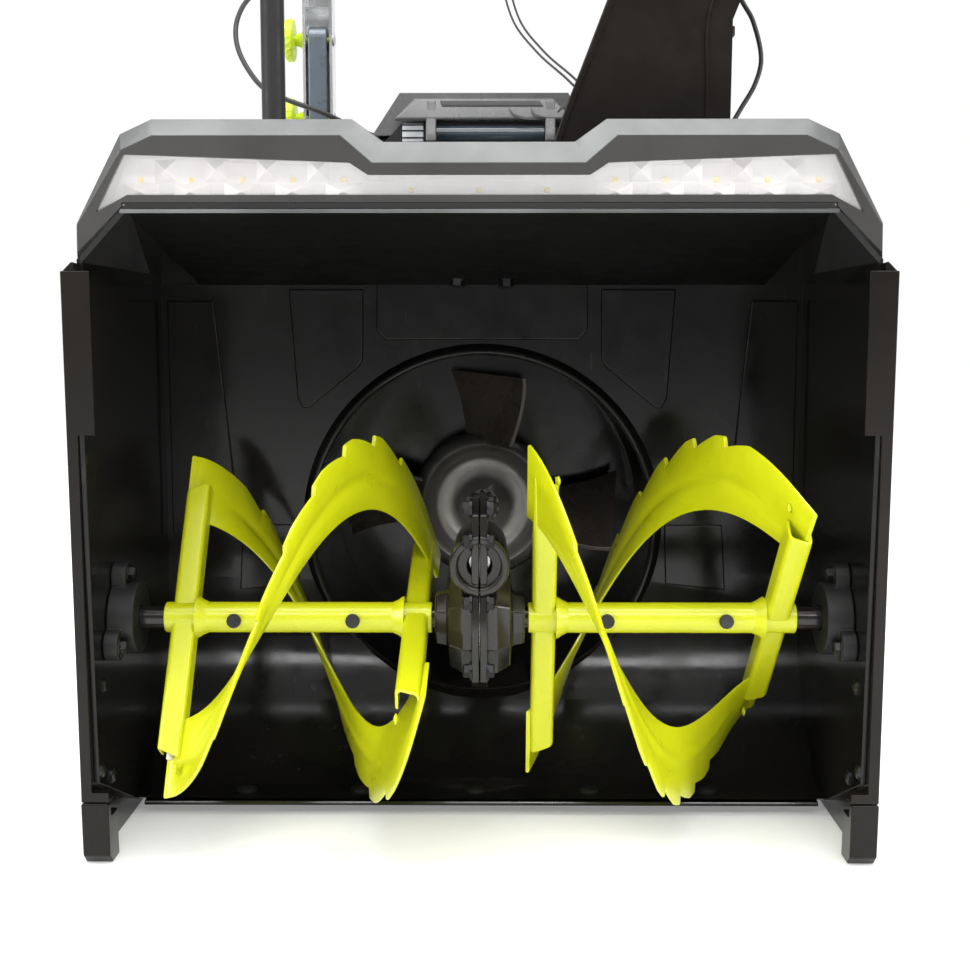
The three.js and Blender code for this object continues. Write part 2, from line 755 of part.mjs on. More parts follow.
function handleSide(side) {
  const x = side * HANDLE_X;
  const gripX = side * GRIP_X;
  const channel = cut(
    block(x - 16.5, x + 16.5, PIVOT_Y - 12, PIVOT_Y + 20, LOCK_Z - 26, 806),
    block(x - 13.5, x + 13.5, PIVOT_Y - 20, PIVOT_Y + 17, LOCK_Z - 30, 786),
    ...[PIVOT_Z, LOCK_Z].map((z) => rod([x - 30, PIVOT_Y, z], [x + 30, PIVOT_Y, z], BOLT_R + GAP, 16)),
  );
  const tube = hose(
    [
      [x, PIVOT_Y + 4, 790],
      [x, PIVOT_Y + 14, 830],
      [x, 0, 892],
      [side * 193, 160, 962],
      [side * 204, 330, 1000],
      [gripX, 470, GRIP_Z],
      [gripX, 600, GRIP_Z],
      [gripX, GRIP_END_Y, GRIP_Z],
    ],
    13,
    20,
    10,
  );
  const lugs = [-17, 17].map((offset) => {
    const lx = gripX + offset;
    return block(lx - 2.5, lx + 2.5, LEVER_Y - 14, LEVER_Y + 14, GRIP_Z - 4, LEVER_Z + 10);
  });
  const saddle = block(gripX - 19.5, gripX + 19.5, LEVER_Y - 14, LEVER_Y + 14, GRIP_Z - 8, GRIP_Z + 14);
  const pin = rod([gripX - 18, LEVER_Y, LEVER_Z], [gripX + 18, LEVER_Y, LEVER_Z], 3, 12);
  return join(channel, tube, ...lugs, saddle, pin);
}

const upperHandle = () =>
  join(handleSide(1), handleSide(-1), rod([-GRIP_X, 500, GRIP_Z], [GRIP_X, 500, GRIP_Z], 9, 16));

function clampKnob(side, z) {
  const x = HANDLE_X;
  const dome = rod([x - 19.5, PIVOT_Y, z], [x - 16.8, PIVOT_Y, z], 7, 16);
  const shank = rod([x - 19, PIVOT_Y, z], [x + 20, PIVOT_Y, z], BOLT_R, 12);
  const collar = rod([x + 16.8, PIVOT_Y, z], [x + 24, PIVOT_Y, z], 9, 16, 6);
  const stem = rod([x + 22, PIVOT_Y, z], [x + 28, PIVOT_Y, z], 6, 16);
  const disc = rod([x + 27, PIVOT_Y, z], [x + 37, PIVOT_Y, z], 23, 20);
  const whole = join(dome, shank, collar, stem, disc);
  return side > 0 ? whole : whole.scale([-1, 1, 1]);
}

const PANEL_BACK = 610;
const SPEED_X = 62;
const STICK_X = -62;
const BUTTON_X = 0;
const CONTROL_Y = 540;
const PIT_Z = 1046;

function controlPanel() {
  const housing = acrossX(
    [
      [430, GRIP_Z + 9.4],
      [PANEL_BACK, GRIP_Z + 9.4],
      [PANEL_BACK, 1062],
      [456, 1090],
      [430, 1076],
    ],
    -182,
    182,
  );
  return cut(
    housing,
    block(SPEED_X - 9, SPEED_X + 9, CONTROL_Y - 46, CONTROL_Y + 46, PIT_Z - 12, 1120),
    block(STICK_X - 24, STICK_X + 24, CONTROL_Y - 12, CONTROL_Y + 12, PIT_Z - 12, 1120),
    rod([BUTTON_X, CONTROL_Y, 1052], [BUTTON_X, CONTROL_Y, 1120], 9.5, 20),
  );
}

function bailLever(side) {
  const x = side * GRIP_X;
  const barrel = rod([x - 14, LEVER_Y, LEVER_Z], [x + 14, LEVER_Y, LEVER_Z], 8, 16);
  const paddle = acrossX(
    [
      [LEVER_Y, LEVER_Z - 3],
      [LEVER_Y + 60, LEVER_Z + 12],
      [LEVER_Y + 148, LEVER_Z + 22],
      [LEVER_Y + 148, LEVER_Z + 28],
      [LEVER_Y + 58, LEVER_Z + 19],
      [LEVER_Y, LEVER_Z + 5],
    ],
    x - 13,
    x + 13,
  );
  return cut(join(barrel, paddle), rod([x - 20, LEVER_Y, LEVER_Z], [x + 20, LEVER_Y, LEVER_Z], 3.5, 12));
}

function speedLever() {
  const hub = rod([SPEED_X - 7, CONTROL_Y, PIT_Z + 2], [SPEED_X + 7, CONTROL_Y, PIT_Z + 2], 9, 16);
  const stem = rod([SPEED_X, CONTROL_Y, PIT_Z], [SPEED_X, CONTROL_Y, PIT_Z + 58], 4, 12);
  const knob = rod([SPEED_X, CONTROL_Y, PIT_Z + 50], [SPEED_X, CONTROL_Y, PIT_Z + 80], 10, 16, 13);
  return join(hub, stem, knob);
}

function chuteJoystick() {
  const hub = rod([STICK_X, CONTROL_Y - 8, PIT_Z + 2], [STICK_X, CONTROL_Y + 8, PIT_Z + 2], 9, 16);
  const stem = rod([STICK_X, CONTROL_Y, PIT_Z], [STICK_X, CONTROL_Y, PIT_Z + 46], 4, 12);
  const knob = rod([STICK_X, CONTROL_Y, PIT_Z + 40], [STICK_X, CONTROL_Y, PIT_Z + 64], 8, 16, 11);
  return join(hub, stem, knob);
}

const lightButton = () => rod([BUTTON_X, CONTROL_Y, 1058], [BUTTON_X, CONTROL_Y, 1080], 9, 20);

// ---- Snow clean-out tool and its clip ----
const TOOL_X = -201;
const TOOL_Y = -318;

function toolClip() {
  const body = block(TOOL_X - 19, TOOL_X + 19, BACK_Y + WALL + GAP, TOOL_Y + 19, 428, 462);
  return cut(body, rod([TOOL_X, TOOL_Y, 432], [TOOL_X, TOOL_Y, 470], 12, 20));
}

function cleanOutTool() {
  const shaft = rod([TOOL_X, TOOL_Y, 433], [TOOL_X, TOOL_Y, 862], 11.5, 20);
  const blade = alongY(
    [
      [TOOL_X - 16, 850],
      [TOOL_X + 16, 850],
      [TOOL_X + 42, 890],
      [TOOL_X + 42, 960],
      [TOOL_X - 42, 960],
      [TOOL_X - 42, 890],
    ],
    TOOL_Y - 3,
    TOOL_Y + 3,
  );
  return join(shaft, blade);
}

// ---- Cables held by the machine ----
const harnessCable = () =>
  hose(
    [
      [-150, 428, 1040],
      [-205, 330, 960],
      [-246, 160, 880],
      [-270, 0, 822],
      [-279, -70, 778],
      [-274, -98, 738],
      [-250, -112, 699],
      [-222, -116, 682],
      [-180, -116, 667],
      [-145, -100, 652],
      [-122, -88, 644],
    ],
    2.8,
    28,
  );

const chuteCable = () =>
  join(
    ...[0, 9].map((offset) =>
      hose(
        [
          [16 + offset, 428, 1040],
          [20 + offset, 330, 930],
          [34 + offset, 180, 832],
          [62 + offset, 30, 760],
          [96 + offset, -80, 706],
          [124 + offset / 2, -110, 668],
          [130 + offset / 4, -100, 622],
          [128, -90, 590],
        ],
        1.4,
        14,
      ),
    ),
    rod([128, -90, 600], [128, -90, 566], 6, 12),
  );

const deflectorCable = () =>
  join(
    hose(
      [
        [272, -179, 892],
        [269, -179, 835],
        [267, -179, 783],
        [283, -181, 750],
        [292, -183, 713],
        [286, -185, 685],
        [271, -188, 659],
        [255, -196, 632],
        [246, -212, 612],
        [244, -222, 600],
      ],
      2.5,
      18,
    ),
    rod([244, -222, 604], [244, -222, 580], 6, 12),
  );

// ---- Assembly ----
add("auger_housing", augerHousing(), BLACK_GLOSS);
add("scraper_bar", scraperBar(), CAST);
add("light_hood", lightHood(), DARK_GREY);
add("light_reflector", lightReflector(), WHITE);
add("light_lens", lightLens(), CLEAR);
add("impeller_drum", impellerDrum(), BLACK_GLOSS);
add("base_frame", baseFrame(), BLACK_MATTE);
add("auger_motor", augerMotor(), STEEL);
add("transaxle", transaxle(), CAST);
add("body_shell", bodyShell(), BLACK_MATTE);
add("battery_lid", batteryLid(), GREY);
add("tool_clip", toolClip(), BLACK_MATTE);
add("clean_out_tool", cleanOutTool(), BLACK_MATTE);
add("auger_shaft", drilledShaft(), STEEL);
add("worm_wheel", wormWheel(), STEEL);
add("impeller_shaft", impellerShaft(), STEEL);
add("impeller", impeller(), CAST);
add("chute", chute(), BLACK_GLOSS);
add("chute_deflector", deflector(), BLACK_GLOSS);
add("chute_pinion", chutePinion(), STEEL);
add("chute_motor", chuteMotor(), BLACK_MATTE);
add("upper_handle", upperHandle(), STEEL);
add("control_panel", controlPanel(), BLACK_MATTE);
add("speed_lever", speedLever(), LIME);
add("chute_joystick", chuteJoystick(), BLACK_MATTE);
add("light_button", lightButton(), LIME);
add("harness_cable", harnessCable(), RUBBER);
add("chute_cable", chuteCable(), PALE_SHEATH);
add("deflector_cable", deflectorCable(), RUBBER);

const degrees = (angle) => (angle * Math.PI) / 180;

// The inner and outer arm's angle about the axis, from straight up towards the front, and each ribbon's
// span along the axis with the power that its turn quickens by.
const AUGER_HALVES = {
  left: {
    angles: [degrees(20), degrees(225)],
    ribbons: [
      { from: 44, to: 245, power: 1.36 },
      { from: 45, to: 247, power: 1.08 },
    ],
  },
  right: {
    angles: [degrees(-73), degrees(146)],
    ribbons: [
      { from: 44, to: 243, power: 1.33 },
      { from: 44, to: 250, power: 1.42 },
    ],
  },
};

for (const [name, side] of SIDES) {
  add("side_guard_" + name, sideGuard(side), BLACK_GLOSS);
  add("skid_shoe_" + name, skidShoe(side), CAST);
  add("auger_bearing_" + name, bearing(side), BLACK_MATTE);
  add("auger_" + name, augerHalf(side, AUGER_HALVES[name]), LIME);
  add("gearbox_half_" + name, gearboxHalf(side), CAST);
  add("half_shaft_" + name, halfShaft(side), STEEL);
  add("rim_" + name, rim(side), SLATE);
  add("tyre_" + name, tyre(side), RUBBER);
  add("battery_" + name, battery(side), BLACK_MATTE);
  add("lower_handle_" + name, lowerHandle(side), SLATE);
  add("pivot_knob_" + name, clampKnob(side, PIVOT_Z), LIME);
  add("lock_knob_" + name, clampKnob(side, LOCK_Z), LIME);
  add("bail_lever_" + name, bailLever(side), LIME);
  PIN_X.forEach((x, i) => add("shear_pin_" + name + "_" + (i + 1), shearPin(side * x), STEEL));
}

export default machine;
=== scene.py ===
# %% [markdown]
# # A battery snow blower, dressed over its engineering frame
# The engineering model says where every piece is and how it moves. This lesson keeps those places
# and gives each piece the shape and finish that it has on a real machine. Lengths in the making are
# millimetres, because that is how a maker reads a drawing, and every mesh is scaled to metres as it
# is finished.

# %% Load the frame
import math

import bmesh
import bpy
from mathutils import Matrix, Vector, noise


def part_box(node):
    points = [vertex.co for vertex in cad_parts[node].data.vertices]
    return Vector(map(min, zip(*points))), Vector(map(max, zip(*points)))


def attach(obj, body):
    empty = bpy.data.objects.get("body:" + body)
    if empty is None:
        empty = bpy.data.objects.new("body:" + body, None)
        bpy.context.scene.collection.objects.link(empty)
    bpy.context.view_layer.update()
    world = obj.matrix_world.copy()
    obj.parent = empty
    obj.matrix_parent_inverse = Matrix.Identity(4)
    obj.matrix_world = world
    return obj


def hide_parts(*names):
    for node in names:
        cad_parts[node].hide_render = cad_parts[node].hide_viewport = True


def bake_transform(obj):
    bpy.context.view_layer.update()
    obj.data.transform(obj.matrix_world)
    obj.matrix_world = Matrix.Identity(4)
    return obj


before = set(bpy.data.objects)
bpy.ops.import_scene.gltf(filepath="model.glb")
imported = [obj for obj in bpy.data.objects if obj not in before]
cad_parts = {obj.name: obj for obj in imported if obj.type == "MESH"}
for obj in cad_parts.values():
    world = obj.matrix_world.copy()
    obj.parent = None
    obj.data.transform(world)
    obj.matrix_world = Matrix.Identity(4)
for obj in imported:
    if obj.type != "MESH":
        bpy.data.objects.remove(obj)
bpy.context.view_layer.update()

MM = 0.001
SIDES = (("left", 1), ("right", -1))

# %% [markdown]
# ## The camera and the studio
# The machine is seen from in front, a little above its auger. A short telephoto keeps the intake's
# corners square. The floor is pale and the room white, as in a catalogue, so that gloss shows as
# broad soft bands.

# %% Camera
EYE_PLACE = (0.0122, -1.6788, 0.4277)
EYE_DROP, EYE_TURN = 6.44, 0.41
EYE_LENS = 51.17
eye = bpy.data.cameras.new("front_eye")
eye.lens = EYE_LENS
eye.sensor_width = 36
eye.clip_start = 0.05
eye.clip_end = 60
camera = bpy.data.objects.new("front_eye", eye)
camera.location = EYE_PLACE
camera.rotation_euler = (math.radians(90 - EYE_DROP), 0, math.radians(EYE_TURN))
bpy.context.scene.collection.objects.link(camera)
bpy.context.scene.camera = camera
bpy.context.scene.view_settings.view_transform = "Standard"
print("camera stands", round(camera.location.length, 2), "m from the middle")

# %% [markdown]
# ## A small kit for meshes
# Most pieces are lofts: rings of points that are joined by strips of faces. A lathe turns a
# profile, a plate carries an outline along an axis, and a hose carries a circle along a smooth
# line. Each helper returns a bmesh, so pieces can be joined before they become one object.

# %% Mesh helpers
X, Y, Z = Vector((1, 0, 0)), Vector((0, 1, 0)), Vector((0, 0, 1))


def span(node):
    """Lowest and highest corner of a frame node, in millimetres."""
    low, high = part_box(node)
    return low / MM, high / MM


def loft(rings, loop=False):
    """Faces between rings of equal length; the ends are capped unless the rings form a loop."""
    made = bmesh.new()
    rows = [[made.verts.new(p) for p in ring] for ring in rings]
    count = len(rows[0])
    pairs = list(zip(rows, rows[1:])) + ([(rows[-1], rows[0])] if loop else [])
    for lower, upper in pairs:
        for i in range(count):
            j = (i + 1) % count
            made.faces.new((lower[i], lower[j], upper[j], upper[i]))
    if not loop:
        made.faces.new(reversed(rows[0]))
        made.faces.new(rows[-1])
    bmesh.ops.recalc_face_normals(made, faces=made.faces)
    return made


def circle(centre, radius, normal, count):
    """Points round a centre, in the plane across normal."""
    turn = Z.rotation_difference(Vector(normal))
    points = []
    for i in range(count):
        angle = 2 * math.pi * i / count
        spoke = Vector((radius * math.cos(angle), radius * math.sin(angle), 0))
        points.append(Vector(centre) + turn @ spoke)
    return points


def lathe(profile, centre, axis, count, ring=False):
    """A turned piece; profile is (radius, distance along the axis). A ring's profile closes on itself."""
    way = Vector(axis).normalized()
    return loft(
        [circle(Vector(centre) + way * along, max(radius, 0.02), way, count) for radius, along in profile],
        loop=ring,
    )


def plate(outline, axis, start, end):
    """An outline carried along an axis: outline points are (y, z), (x, z) or (x, y) for axis x, y or z."""
    place = {
        "x": lambda u, v, w: Vector((w, u, v)),
        "y": lambda u, v, w: Vector((u, w, v)),
        "z": lambda u, v, w: Vector((u, v, w)),
    }[axis]
    return loft([[place(u, v, w) for u, v in outline] for w in (start, end)])


def box(x0, x1, y0, y1, z0, z1):
    """A plain block, to be cut with, joined to others or bevelled."""
    return plate([(x0, y0), (x1, y0), (x1, y1), (x0, y1)], "z", z0, z1)


def smooth_line(points, per_span):
    """A Catmull-Rom line through the points."""
    p = [Vector(q) for q in points]
    p = [2 * p[0] - p[1]] + p + [2 * p[-1] - p[-2]]
    line = []
    for a, b, c, d in zip(p, p[1:], p[2:], p[3:]):
        for i in range(per_span):
            t = i / per_span
            bend = 2 * a - 5 * b + 4 * c - d
            turn = 3 * b - a - 3 * c + d
            line.append(0.5 * (2 * b + (c - a) * t + bend * t * t + turn * t**3))
    return line + [p[-2]]


def way_along(line, i):
    """The direction of a line at one of its points."""
    return (line[min(i + 1, len(line) - 1)] - line[max(i - 1, 0)]).normalized()


def hose(points, radius, sides, per_span):
    """A round tube along a smooth line, with a turning frame that never twists."""
    line = smooth_line(points, per_span)
    rings = []
    across = way_along(line, 0).orthogonal()
    for i, here in enumerate(line):
        way = way_along(line, i)
        across = (across - way * across.dot(way)).normalized()
        other = way.cross(across)
        ring = []
        for k in range(sides):
            angle = 2 * math.pi * k / sides
            ring.append(here + (across * math.cos(angle) + other * math.sin(angle)) * radius)
        rings.append(ring)
    return loft(rings)


def joined(*parts):
    """Several bmeshes as one."""
    whole = bmesh.new()
    for part in parts:
        loose = bpy.data.meshes.new("loose")
        part.to_mesh(loose)
        part.free()
        whole.from_mesh(loose)
        bpy.data.meshes.remove(loose)
    return whole


def moved(part, matrix):
    part.transform(matrix)
    if matrix.determinant() < 0:
        bmesh.ops.reverse_faces(part, faces=part.faces)
    return part


def mirrored(part, side):
    """The same piece on the operator's left, or mirrored to the right."""
    return part if side > 0 else moved(part, Matrix.Scale(-1, 4, X))


def copy_of(node):
    """A frame node's shape as a bmesh in millimetres, with its loose triangles merged into flat faces."""
    made = bmesh.new()
    made.from_mesh(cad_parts[node].data)
    bmesh.ops.scale(made, vec=(1 / MM,) * 3, verts=made.verts)
    bmesh.ops.remove_doubles(made, verts=made.verts, dist=0.01)
    bmesh.ops.dissolve_limit(made, angle_limit=math.radians(1), verts=made.verts, edges=made.edges)
    return made


def subtract(whole, *tools):
    """A boolean cut, for openings that a loft can't leave."""
    body = bpy.data.objects.new("body", bpy.data.meshes.new("body"))
    whole.to_mesh(body.data)
    whole.free()
    tool = bpy.data.objects.new("tool", bpy.data.meshes.new("tool"))
    cutters = joined(*tools)
    cutters.to_mesh(tool.data)
    cutters.free()
    for thing in (body, tool):
        bpy.context.scene.collection.objects.link(thing)
    cut = body.modifiers.new("cut", "BOOLEAN")
    cut.operation = "DIFFERENCE"
    cut.solver = "EXACT"
    cut.use_self = True
    cut.object = tool
    result = bpy.data.meshes.new_from_object(body.evaluated_get(bpy.context.evaluated_depsgraph_get()))
    made = bmesh.new()
    made.from_mesh(result)
    for thing in (body, tool):
        mesh = thing.data
        bpy.data.objects.remove(thing)
        bpy.data.meshes.remove(mesh)
    bpy.data.meshes.remove(result)
    return made


# %% [markdown]
# ## Finishing a piece
# A moulded or pressed edge is never sharp, so each piece gets a small rounded bevel before its
# shading is set. The bevel is evaluated and kept as plain mesh, and the piece is then handed to its
# body, and the nodes that it stands for are hidden.

# %% Finishing helpers
MADE = []


def settle(thing):
    """Turns an object's modifiers into plain mesh."""
    graph = bpy.context.evaluated_depsgraph_get()
    mesh = bpy.data.meshes.new_from_object(thing.evaluated_get(graph))
    thing.modifiers.clear()
    old = thing.data
    thing.data = mesh
    bpy.data.meshes.remove(old)


def round_edges(thing, width, segments, angle):
    """Rounds the edges that are sharper than an angle."""
    edge = thing.modifiers.new("edge", "BEVEL")
    edge.width = width * MM
    edge.segments = segments
    edge.limit_method = "ANGLE"
    edge.angle_limit = math.radians(angle)
    edge.use_clamp_overlap = True
    edge.miter_outer = "MITER_ARC"
    settle(thing)


def shade(thing, crease):
    """Smooth shading, kept sharp along the edges that are sharper than the crease."""
    for polygon in thing.data.polygons:
        polygon.use_smooth = True
    thing.data.set_sharp_from_angle(angle=math.radians(crease))


def even_out(thing):
    """Lets the large flat faces set the shading at their rounded edges."""
    even = thing.modifiers.new("even", "WEIGHTED_NORMAL")
    even.keep_sharp = True
    settle(thing)


def hand_over(thing, body, replaces, cross=None):
    """Gives the piece to its body, or leaves a piece over a joint where it stands, and hides the nodes it
    stands for.
    """
    if cross:
        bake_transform(thing)
    else:
        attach(thing, body)
    if replaces:
        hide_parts(*replaces)
    MADE.append(thing)
    return thing


def piece(
    name, shape, finish, body, slot, replaces=(), bevel=0.0, segments=2, angle=35, crease=40, cross=None
):
    """Makes an object from a bmesh in millimetres and gives it to the frame."""
    mesh = bpy.data.meshes.new(name)
    shape.to_mesh(mesh)
    shape.free()
    mesh.transform(Matrix.Scale(MM, 4))
    thing = bpy.data.objects.new(name, mesh)
    bpy.context.scene.collection.objects.link(thing)
    if bevel:
        round_edges(thing, bevel, segments, angle)
    shade(thing, crease)
    if bevel:
        even_out(thing)
    thing.data.name = name
    thing.data.materials.clear()
    thing.data.materials.append(finish)
    return hand_over(thing, body, replaces, cross)


def refined(node, finish, body, slot, bevel=1.0, segments=2, angle=35):
    """The node's own shape with rounded edges."""
    return piece(node + "_skin", copy_of(node), finish, body, slot, (node,), bevel, segments, angle)


# %% [markdown]
# ## Finishes
# A moulded or painted surface is never one even value. Each finish mixes a broad patchiness into
# its colour, a finer one into its roughness, and a grain or brushing into its relief. Everything
# reads Object coordinates, so the pattern stays on the piece as it moves.

# %% Finish helpers


def new_finish(name):
    """A material with its shader, and the object's own coordinates."""
    made = bpy.data.materials.new(name)
    made.use_nodes = True
    tree = made.node_tree
    shader = tree.nodes["Principled BSDF"]
    here = tree.nodes.new("ShaderNodeTexCoord").outputs["Object"]
    return made, tree, shader, here


def cloud(tree, here, scale, detail=3.0, stretch=(1, 1, 1), rough=0.5):
    """Noise of a given scale, in cells to the metre, that may be stretched along an axis."""
    mapping = tree.nodes.new("ShaderNodeMapping")
    mapping.inputs["Scale"].default_value = stretch
    tree.links.new(here, mapping.inputs["Vector"])
    texture = tree.nodes.new("ShaderNodeTexNoise")
    texture.inputs["Scale"].default_value = scale
    texture.inputs["Detail"].default_value = detail
    texture.inputs["Roughness"].default_value = rough
    tree.links.new(mapping.outputs["Vector"], texture.inputs["Vector"])
    return texture.outputs["Fac"]


def blended(tree, factor, stops):
    """A colour ramp over a factor; stops are (place, colour)."""
    ramp = tree.nodes.new("ShaderNodeValToRGB")
    elements = ramp.color_ramp.elements
    while len(elements) < len(stops):
        elements.new(0.5)
    for element, (place, colour) in zip(elements, stops):
        element.position = place
        element.color = (*colour, 1)
    tree.links.new(factor, ramp.inputs["Fac"])
    return ramp.outputs["Color"]


def ranged(tree, factor, low, high, start=0.3, end=0.7):
    """A factor mapped to a span of values."""
    node = tree.nodes.new("ShaderNodeMapRange")
    node.inputs["From Min"].default_value = start
    node.inputs["From Max"].default_value = end
    node.inputs["To Min"].default_value = low
    node.inputs["To Max"].default_value = high
    tree.links.new(factor, node.inputs["Value"])
    return node.outputs["Result"]


def relief(tree, shader, heights):
    """Stacked bumps; heights are (factor, depth in metres)."""
    before = None
    for factor, depth in heights:
        bump = tree.nodes.new("ShaderNodeBump")
        bump.inputs["Strength"].default_value = 1.0
        bump.inputs["Distance"].default_value = depth
        tree.links.new(factor, bump.inputs["Height"])
        if before:
            tree.links.new(before, bump.inputs["Normal"])
        before = bump.outputs["Normal"]
    tree.links.new(before, shader.inputs["Normal"])


def scuffed(tree, here, colour, worn):
    """The colour with thin upright scuffs of a worn colour."""
    scuffs = cloud(tree, here, 70, 6.0, (1, 1, 0.25), 0.7)
    mask = ranged(tree, scuffs, 0.0, 1.0, 0.63, 0.74)
    mix = tree.nodes.new("ShaderNodeMix")
    mix.data_type = "RGBA"
    tree.links.new(mask, mix.inputs[0])
    tree.links.new(colour, mix.inputs[6])
    mix.inputs[7].default_value = (*worn, 1)
    return mix.outputs[2]


def finish_of(
    name, dark, light, rough, grain, metal=0.0, coat=0.0, patch=9.0, brushed=None, specular=0.5, worn=None
):
    """A whole finish: colours, roughness span, (grain scale, depth), and optional brushing and wear."""
    made, tree, shader, here = new_finish(name)
    patches = cloud(tree, here, patch, 4.0)
    colour = blended(tree, patches, [(0.35, dark), (0.65, light)])
    if worn:
        colour = scuffed(tree, here, colour, worn)
    tree.links.new(colour, shader.inputs["Base Color"])
    streaks = cloud(tree, here, 40, 5.0, brushed or (1, 1, 1), 0.6)
    tree.links.new(ranged(tree, streaks, *rough), shader.inputs["Roughness"])
    shader.inputs["Metallic"].default_value = metal
    shader.inputs["Specular IOR Level"].default_value = specular
    shader.inputs["Coat Weight"].default_value = coat
    shader.inputs["Coat Roughness"].default_value = 0.12
    scale, depth = grain
    heights = [(cloud(tree, here, scale, 3.0, brushed or (1, 1, 1)), depth)]
    if coat or metal == 0:
        heights.append((cloud(tree, here, 14, 2.0), depth * 6))
    relief(tree, shader, heights)
    return made


# %% [markdown]
# ### The machine's own finishes
# Gloss black plastic for the intake and chute, fine-textured plastic for covers, yellow-green
# powder coat on the auger, ground steel, dark castings, slate paint on the handle's lower bars and
# bright aluminium above them.

# %% Finishes
GLOSS_BLACK = finish_of(
    "gloss_black", (0.0055, 0.0052, 0.0052), (0.011, 0.0103, 0.0098),
    (0.09, 0.2), (420, 0.00002), specular=0.26, patch=5, worn=(0.03, 0.029, 0.027),
)
CHUTE_BLACK = finish_of(
    "chute_black", (0.0055, 0.0046, 0.0038), (0.0115, 0.0092, 0.0078),
    (0.12, 0.26), (420, 0.00002), patch=6, specular=0.2,
)
DULL_BLACK = finish_of(
    "dull_black", (0.008, 0.008, 0.0085), (0.014, 0.014, 0.0145),
    (0.42, 0.6), (900, 0.00006), specular=0.35,
)
CEILING_BLACK = finish_of(
    "ceiling_black", (0.003, 0.003, 0.003), (0.005, 0.005, 0.005),
    (0.5, 0.65), (700, 0.00005), specular=0.12,
)
HOOD_GREY = finish_of(
    "hood_grey", (0.030, 0.029, 0.028), (0.042, 0.041, 0.040),
    (0.38, 0.52), (1100, 0.00005), specular=0.3,
)
# A lighter copy of the hood's dark grey plastic: a painted highlight where its edges face the light above.
PAINTED_HIGHLIGHT_GREY = finish_of(
    "painted_highlight_grey", (0.07, 0.073, 0.073), (0.14, 0.144, 0.144),
    (0.3, 0.45), (600, 0.00003), metal=0.1,
)
LID_GREY = finish_of(
    "lid_grey", (0.095, 0.096, 0.096), (0.145, 0.146, 0.146),
    (0.22, 0.36), (900, 0.00004),
)
LIME_COAT = finish_of(
    "lime_coat", (0.50, 0.535, 0.004), (0.62, 0.65, 0.010),
    (0.26, 0.4), (260, 0.00006), coat=0.3, patch=7,
)
LIME_PLASTIC = finish_of(
    "lime_plastic", (0.5, 0.66, 0.02), (0.6, 0.75, 0.03),
    (0.3, 0.42), (900, 0.00004),
)
GROUND_STEEL = finish_of(
    "ground_steel", (0.5, 0.5, 0.49), (0.68, 0.68, 0.66),
    (0.2, 0.38), (500, 0.00002), metal=1.0, brushed=(12, 1, 1),
)
DARK_CAST = finish_of(
    "dark_cast", (0.007, 0.0066, 0.0062), (0.021, 0.019, 0.017),
    (0.1, 0.24), (240, 0.00003), metal=0.2, patch=16,
)
DISH_STEEL = finish_of(
    "dish_steel", (0.16, 0.155, 0.15), (0.34, 0.33, 0.32),
    (0.26, 0.42), (300, 0.00004), metal=0.8, patch=8,
)
DARK_BOLT = finish_of(
    "dark_bolt", (0.02, 0.02, 0.021), (0.045, 0.045, 0.046),
    (0.22, 0.4), (700, 0.00003), metal=0.8,
)
BROWN_BLADE = finish_of(
    "brown_blade", (0.035, 0.029, 0.025), (0.075, 0.064, 0.056),
    (0.2, 0.38), (300, 0.00005), metal=0.4, patch=12,
)
BLACK_COAT = finish_of(
    "black_coat", (0.012, 0.012, 0.0125), (0.02, 0.02, 0.021),
    (0.35, 0.5), (320, 0.00006),
)
SLATE_COAT = finish_of(
    "slate_coat", (0.085, 0.105, 0.125), (0.12, 0.145, 0.17),
    (0.24, 0.38), (380, 0.00004), metal=0.3, coat=0.3,
)
BRIGHT_ALLOY = finish_of(
    "bright_alloy", (0.62, 0.63, 0.64), (0.8, 0.81, 0.82),
    (0.2, 0.34), (420, 0.00002), metal=1.0, brushed=(1, 1, 0.1),
)
TYRE_RUBBER = finish_of(
    "tyre_rubber", (0.012, 0.012, 0.012), (0.022, 0.021, 0.02),
    (0.7, 0.9), (420, 0.00018),
)
GRIP_RUBBER = finish_of(
    "grip_rubber", (0.012, 0.012, 0.012), (0.02, 0.02, 0.02),
    (0.6, 0.78), (1400, 0.00012),
)
SHEATH_BLACK = finish_of(
    "sheath_black", (0.01, 0.01, 0.01), (0.018, 0.018, 0.018),
    (0.4, 0.55), (900, 0.00004),
)
CREAM_PART = finish_of(
    "cream_part", (0.6, 0.56, 0.42), (0.72, 0.68, 0.54),
    (0.45, 0.6), (500, 0.00004),
)
WINDOW_GREY = finish_of(
    "window_grey", (0.42, 0.44, 0.46), (0.72, 0.74, 0.76),
    (0.1, 0.2), (60, 0.00002), patch=30,
)
SMOKED = finish_of(
    "smoked_cover", (0.02, 0.03, 0.038), (0.06, 0.08, 0.095),
    (0.06, 0.14), (80, 0.00002), coat=0.5, patch=12,
)
STRIP_BLACK = finish_of(
    "strip_black", (0.005, 0.005, 0.005), (0.009, 0.009, 0.009),
    (0.3, 0.42), (900, 0.00004),
)
print(len(bpy.data.materials), "finishes")

# %% [markdown]
# ### Light parts
# The reflector is glossy white plastic that glows a little, because the diodes light it. The lens
# is clear polycarbonate, thin enough to be drawn as a mostly transparent skin with a gloss of its
# own. Each diode has a warm phosphor face.

# %% Light finishes
REFLECTOR_WHITE, tree, shader, here = new_finish("reflector_white")
tree.links.new(
    blended(tree, cloud(tree, here, 24, 3.0), [(0.3, (0.70, 0.665, 0.655)), (0.7, (0.82, 0.80, 0.795))]),
    shader.inputs["Base Color"],
)
tree.links.new(ranged(tree, cloud(tree, here, 40), 0.16, 0.3), shader.inputs["Roughness"])
relief(tree, shader, [(cloud(tree, here, 320), 0.00002)])
shader.inputs["Emission Color"].default_value = (1.0, 0.96, 0.94, 1)
shader.inputs["Emission Strength"].default_value = 0.12

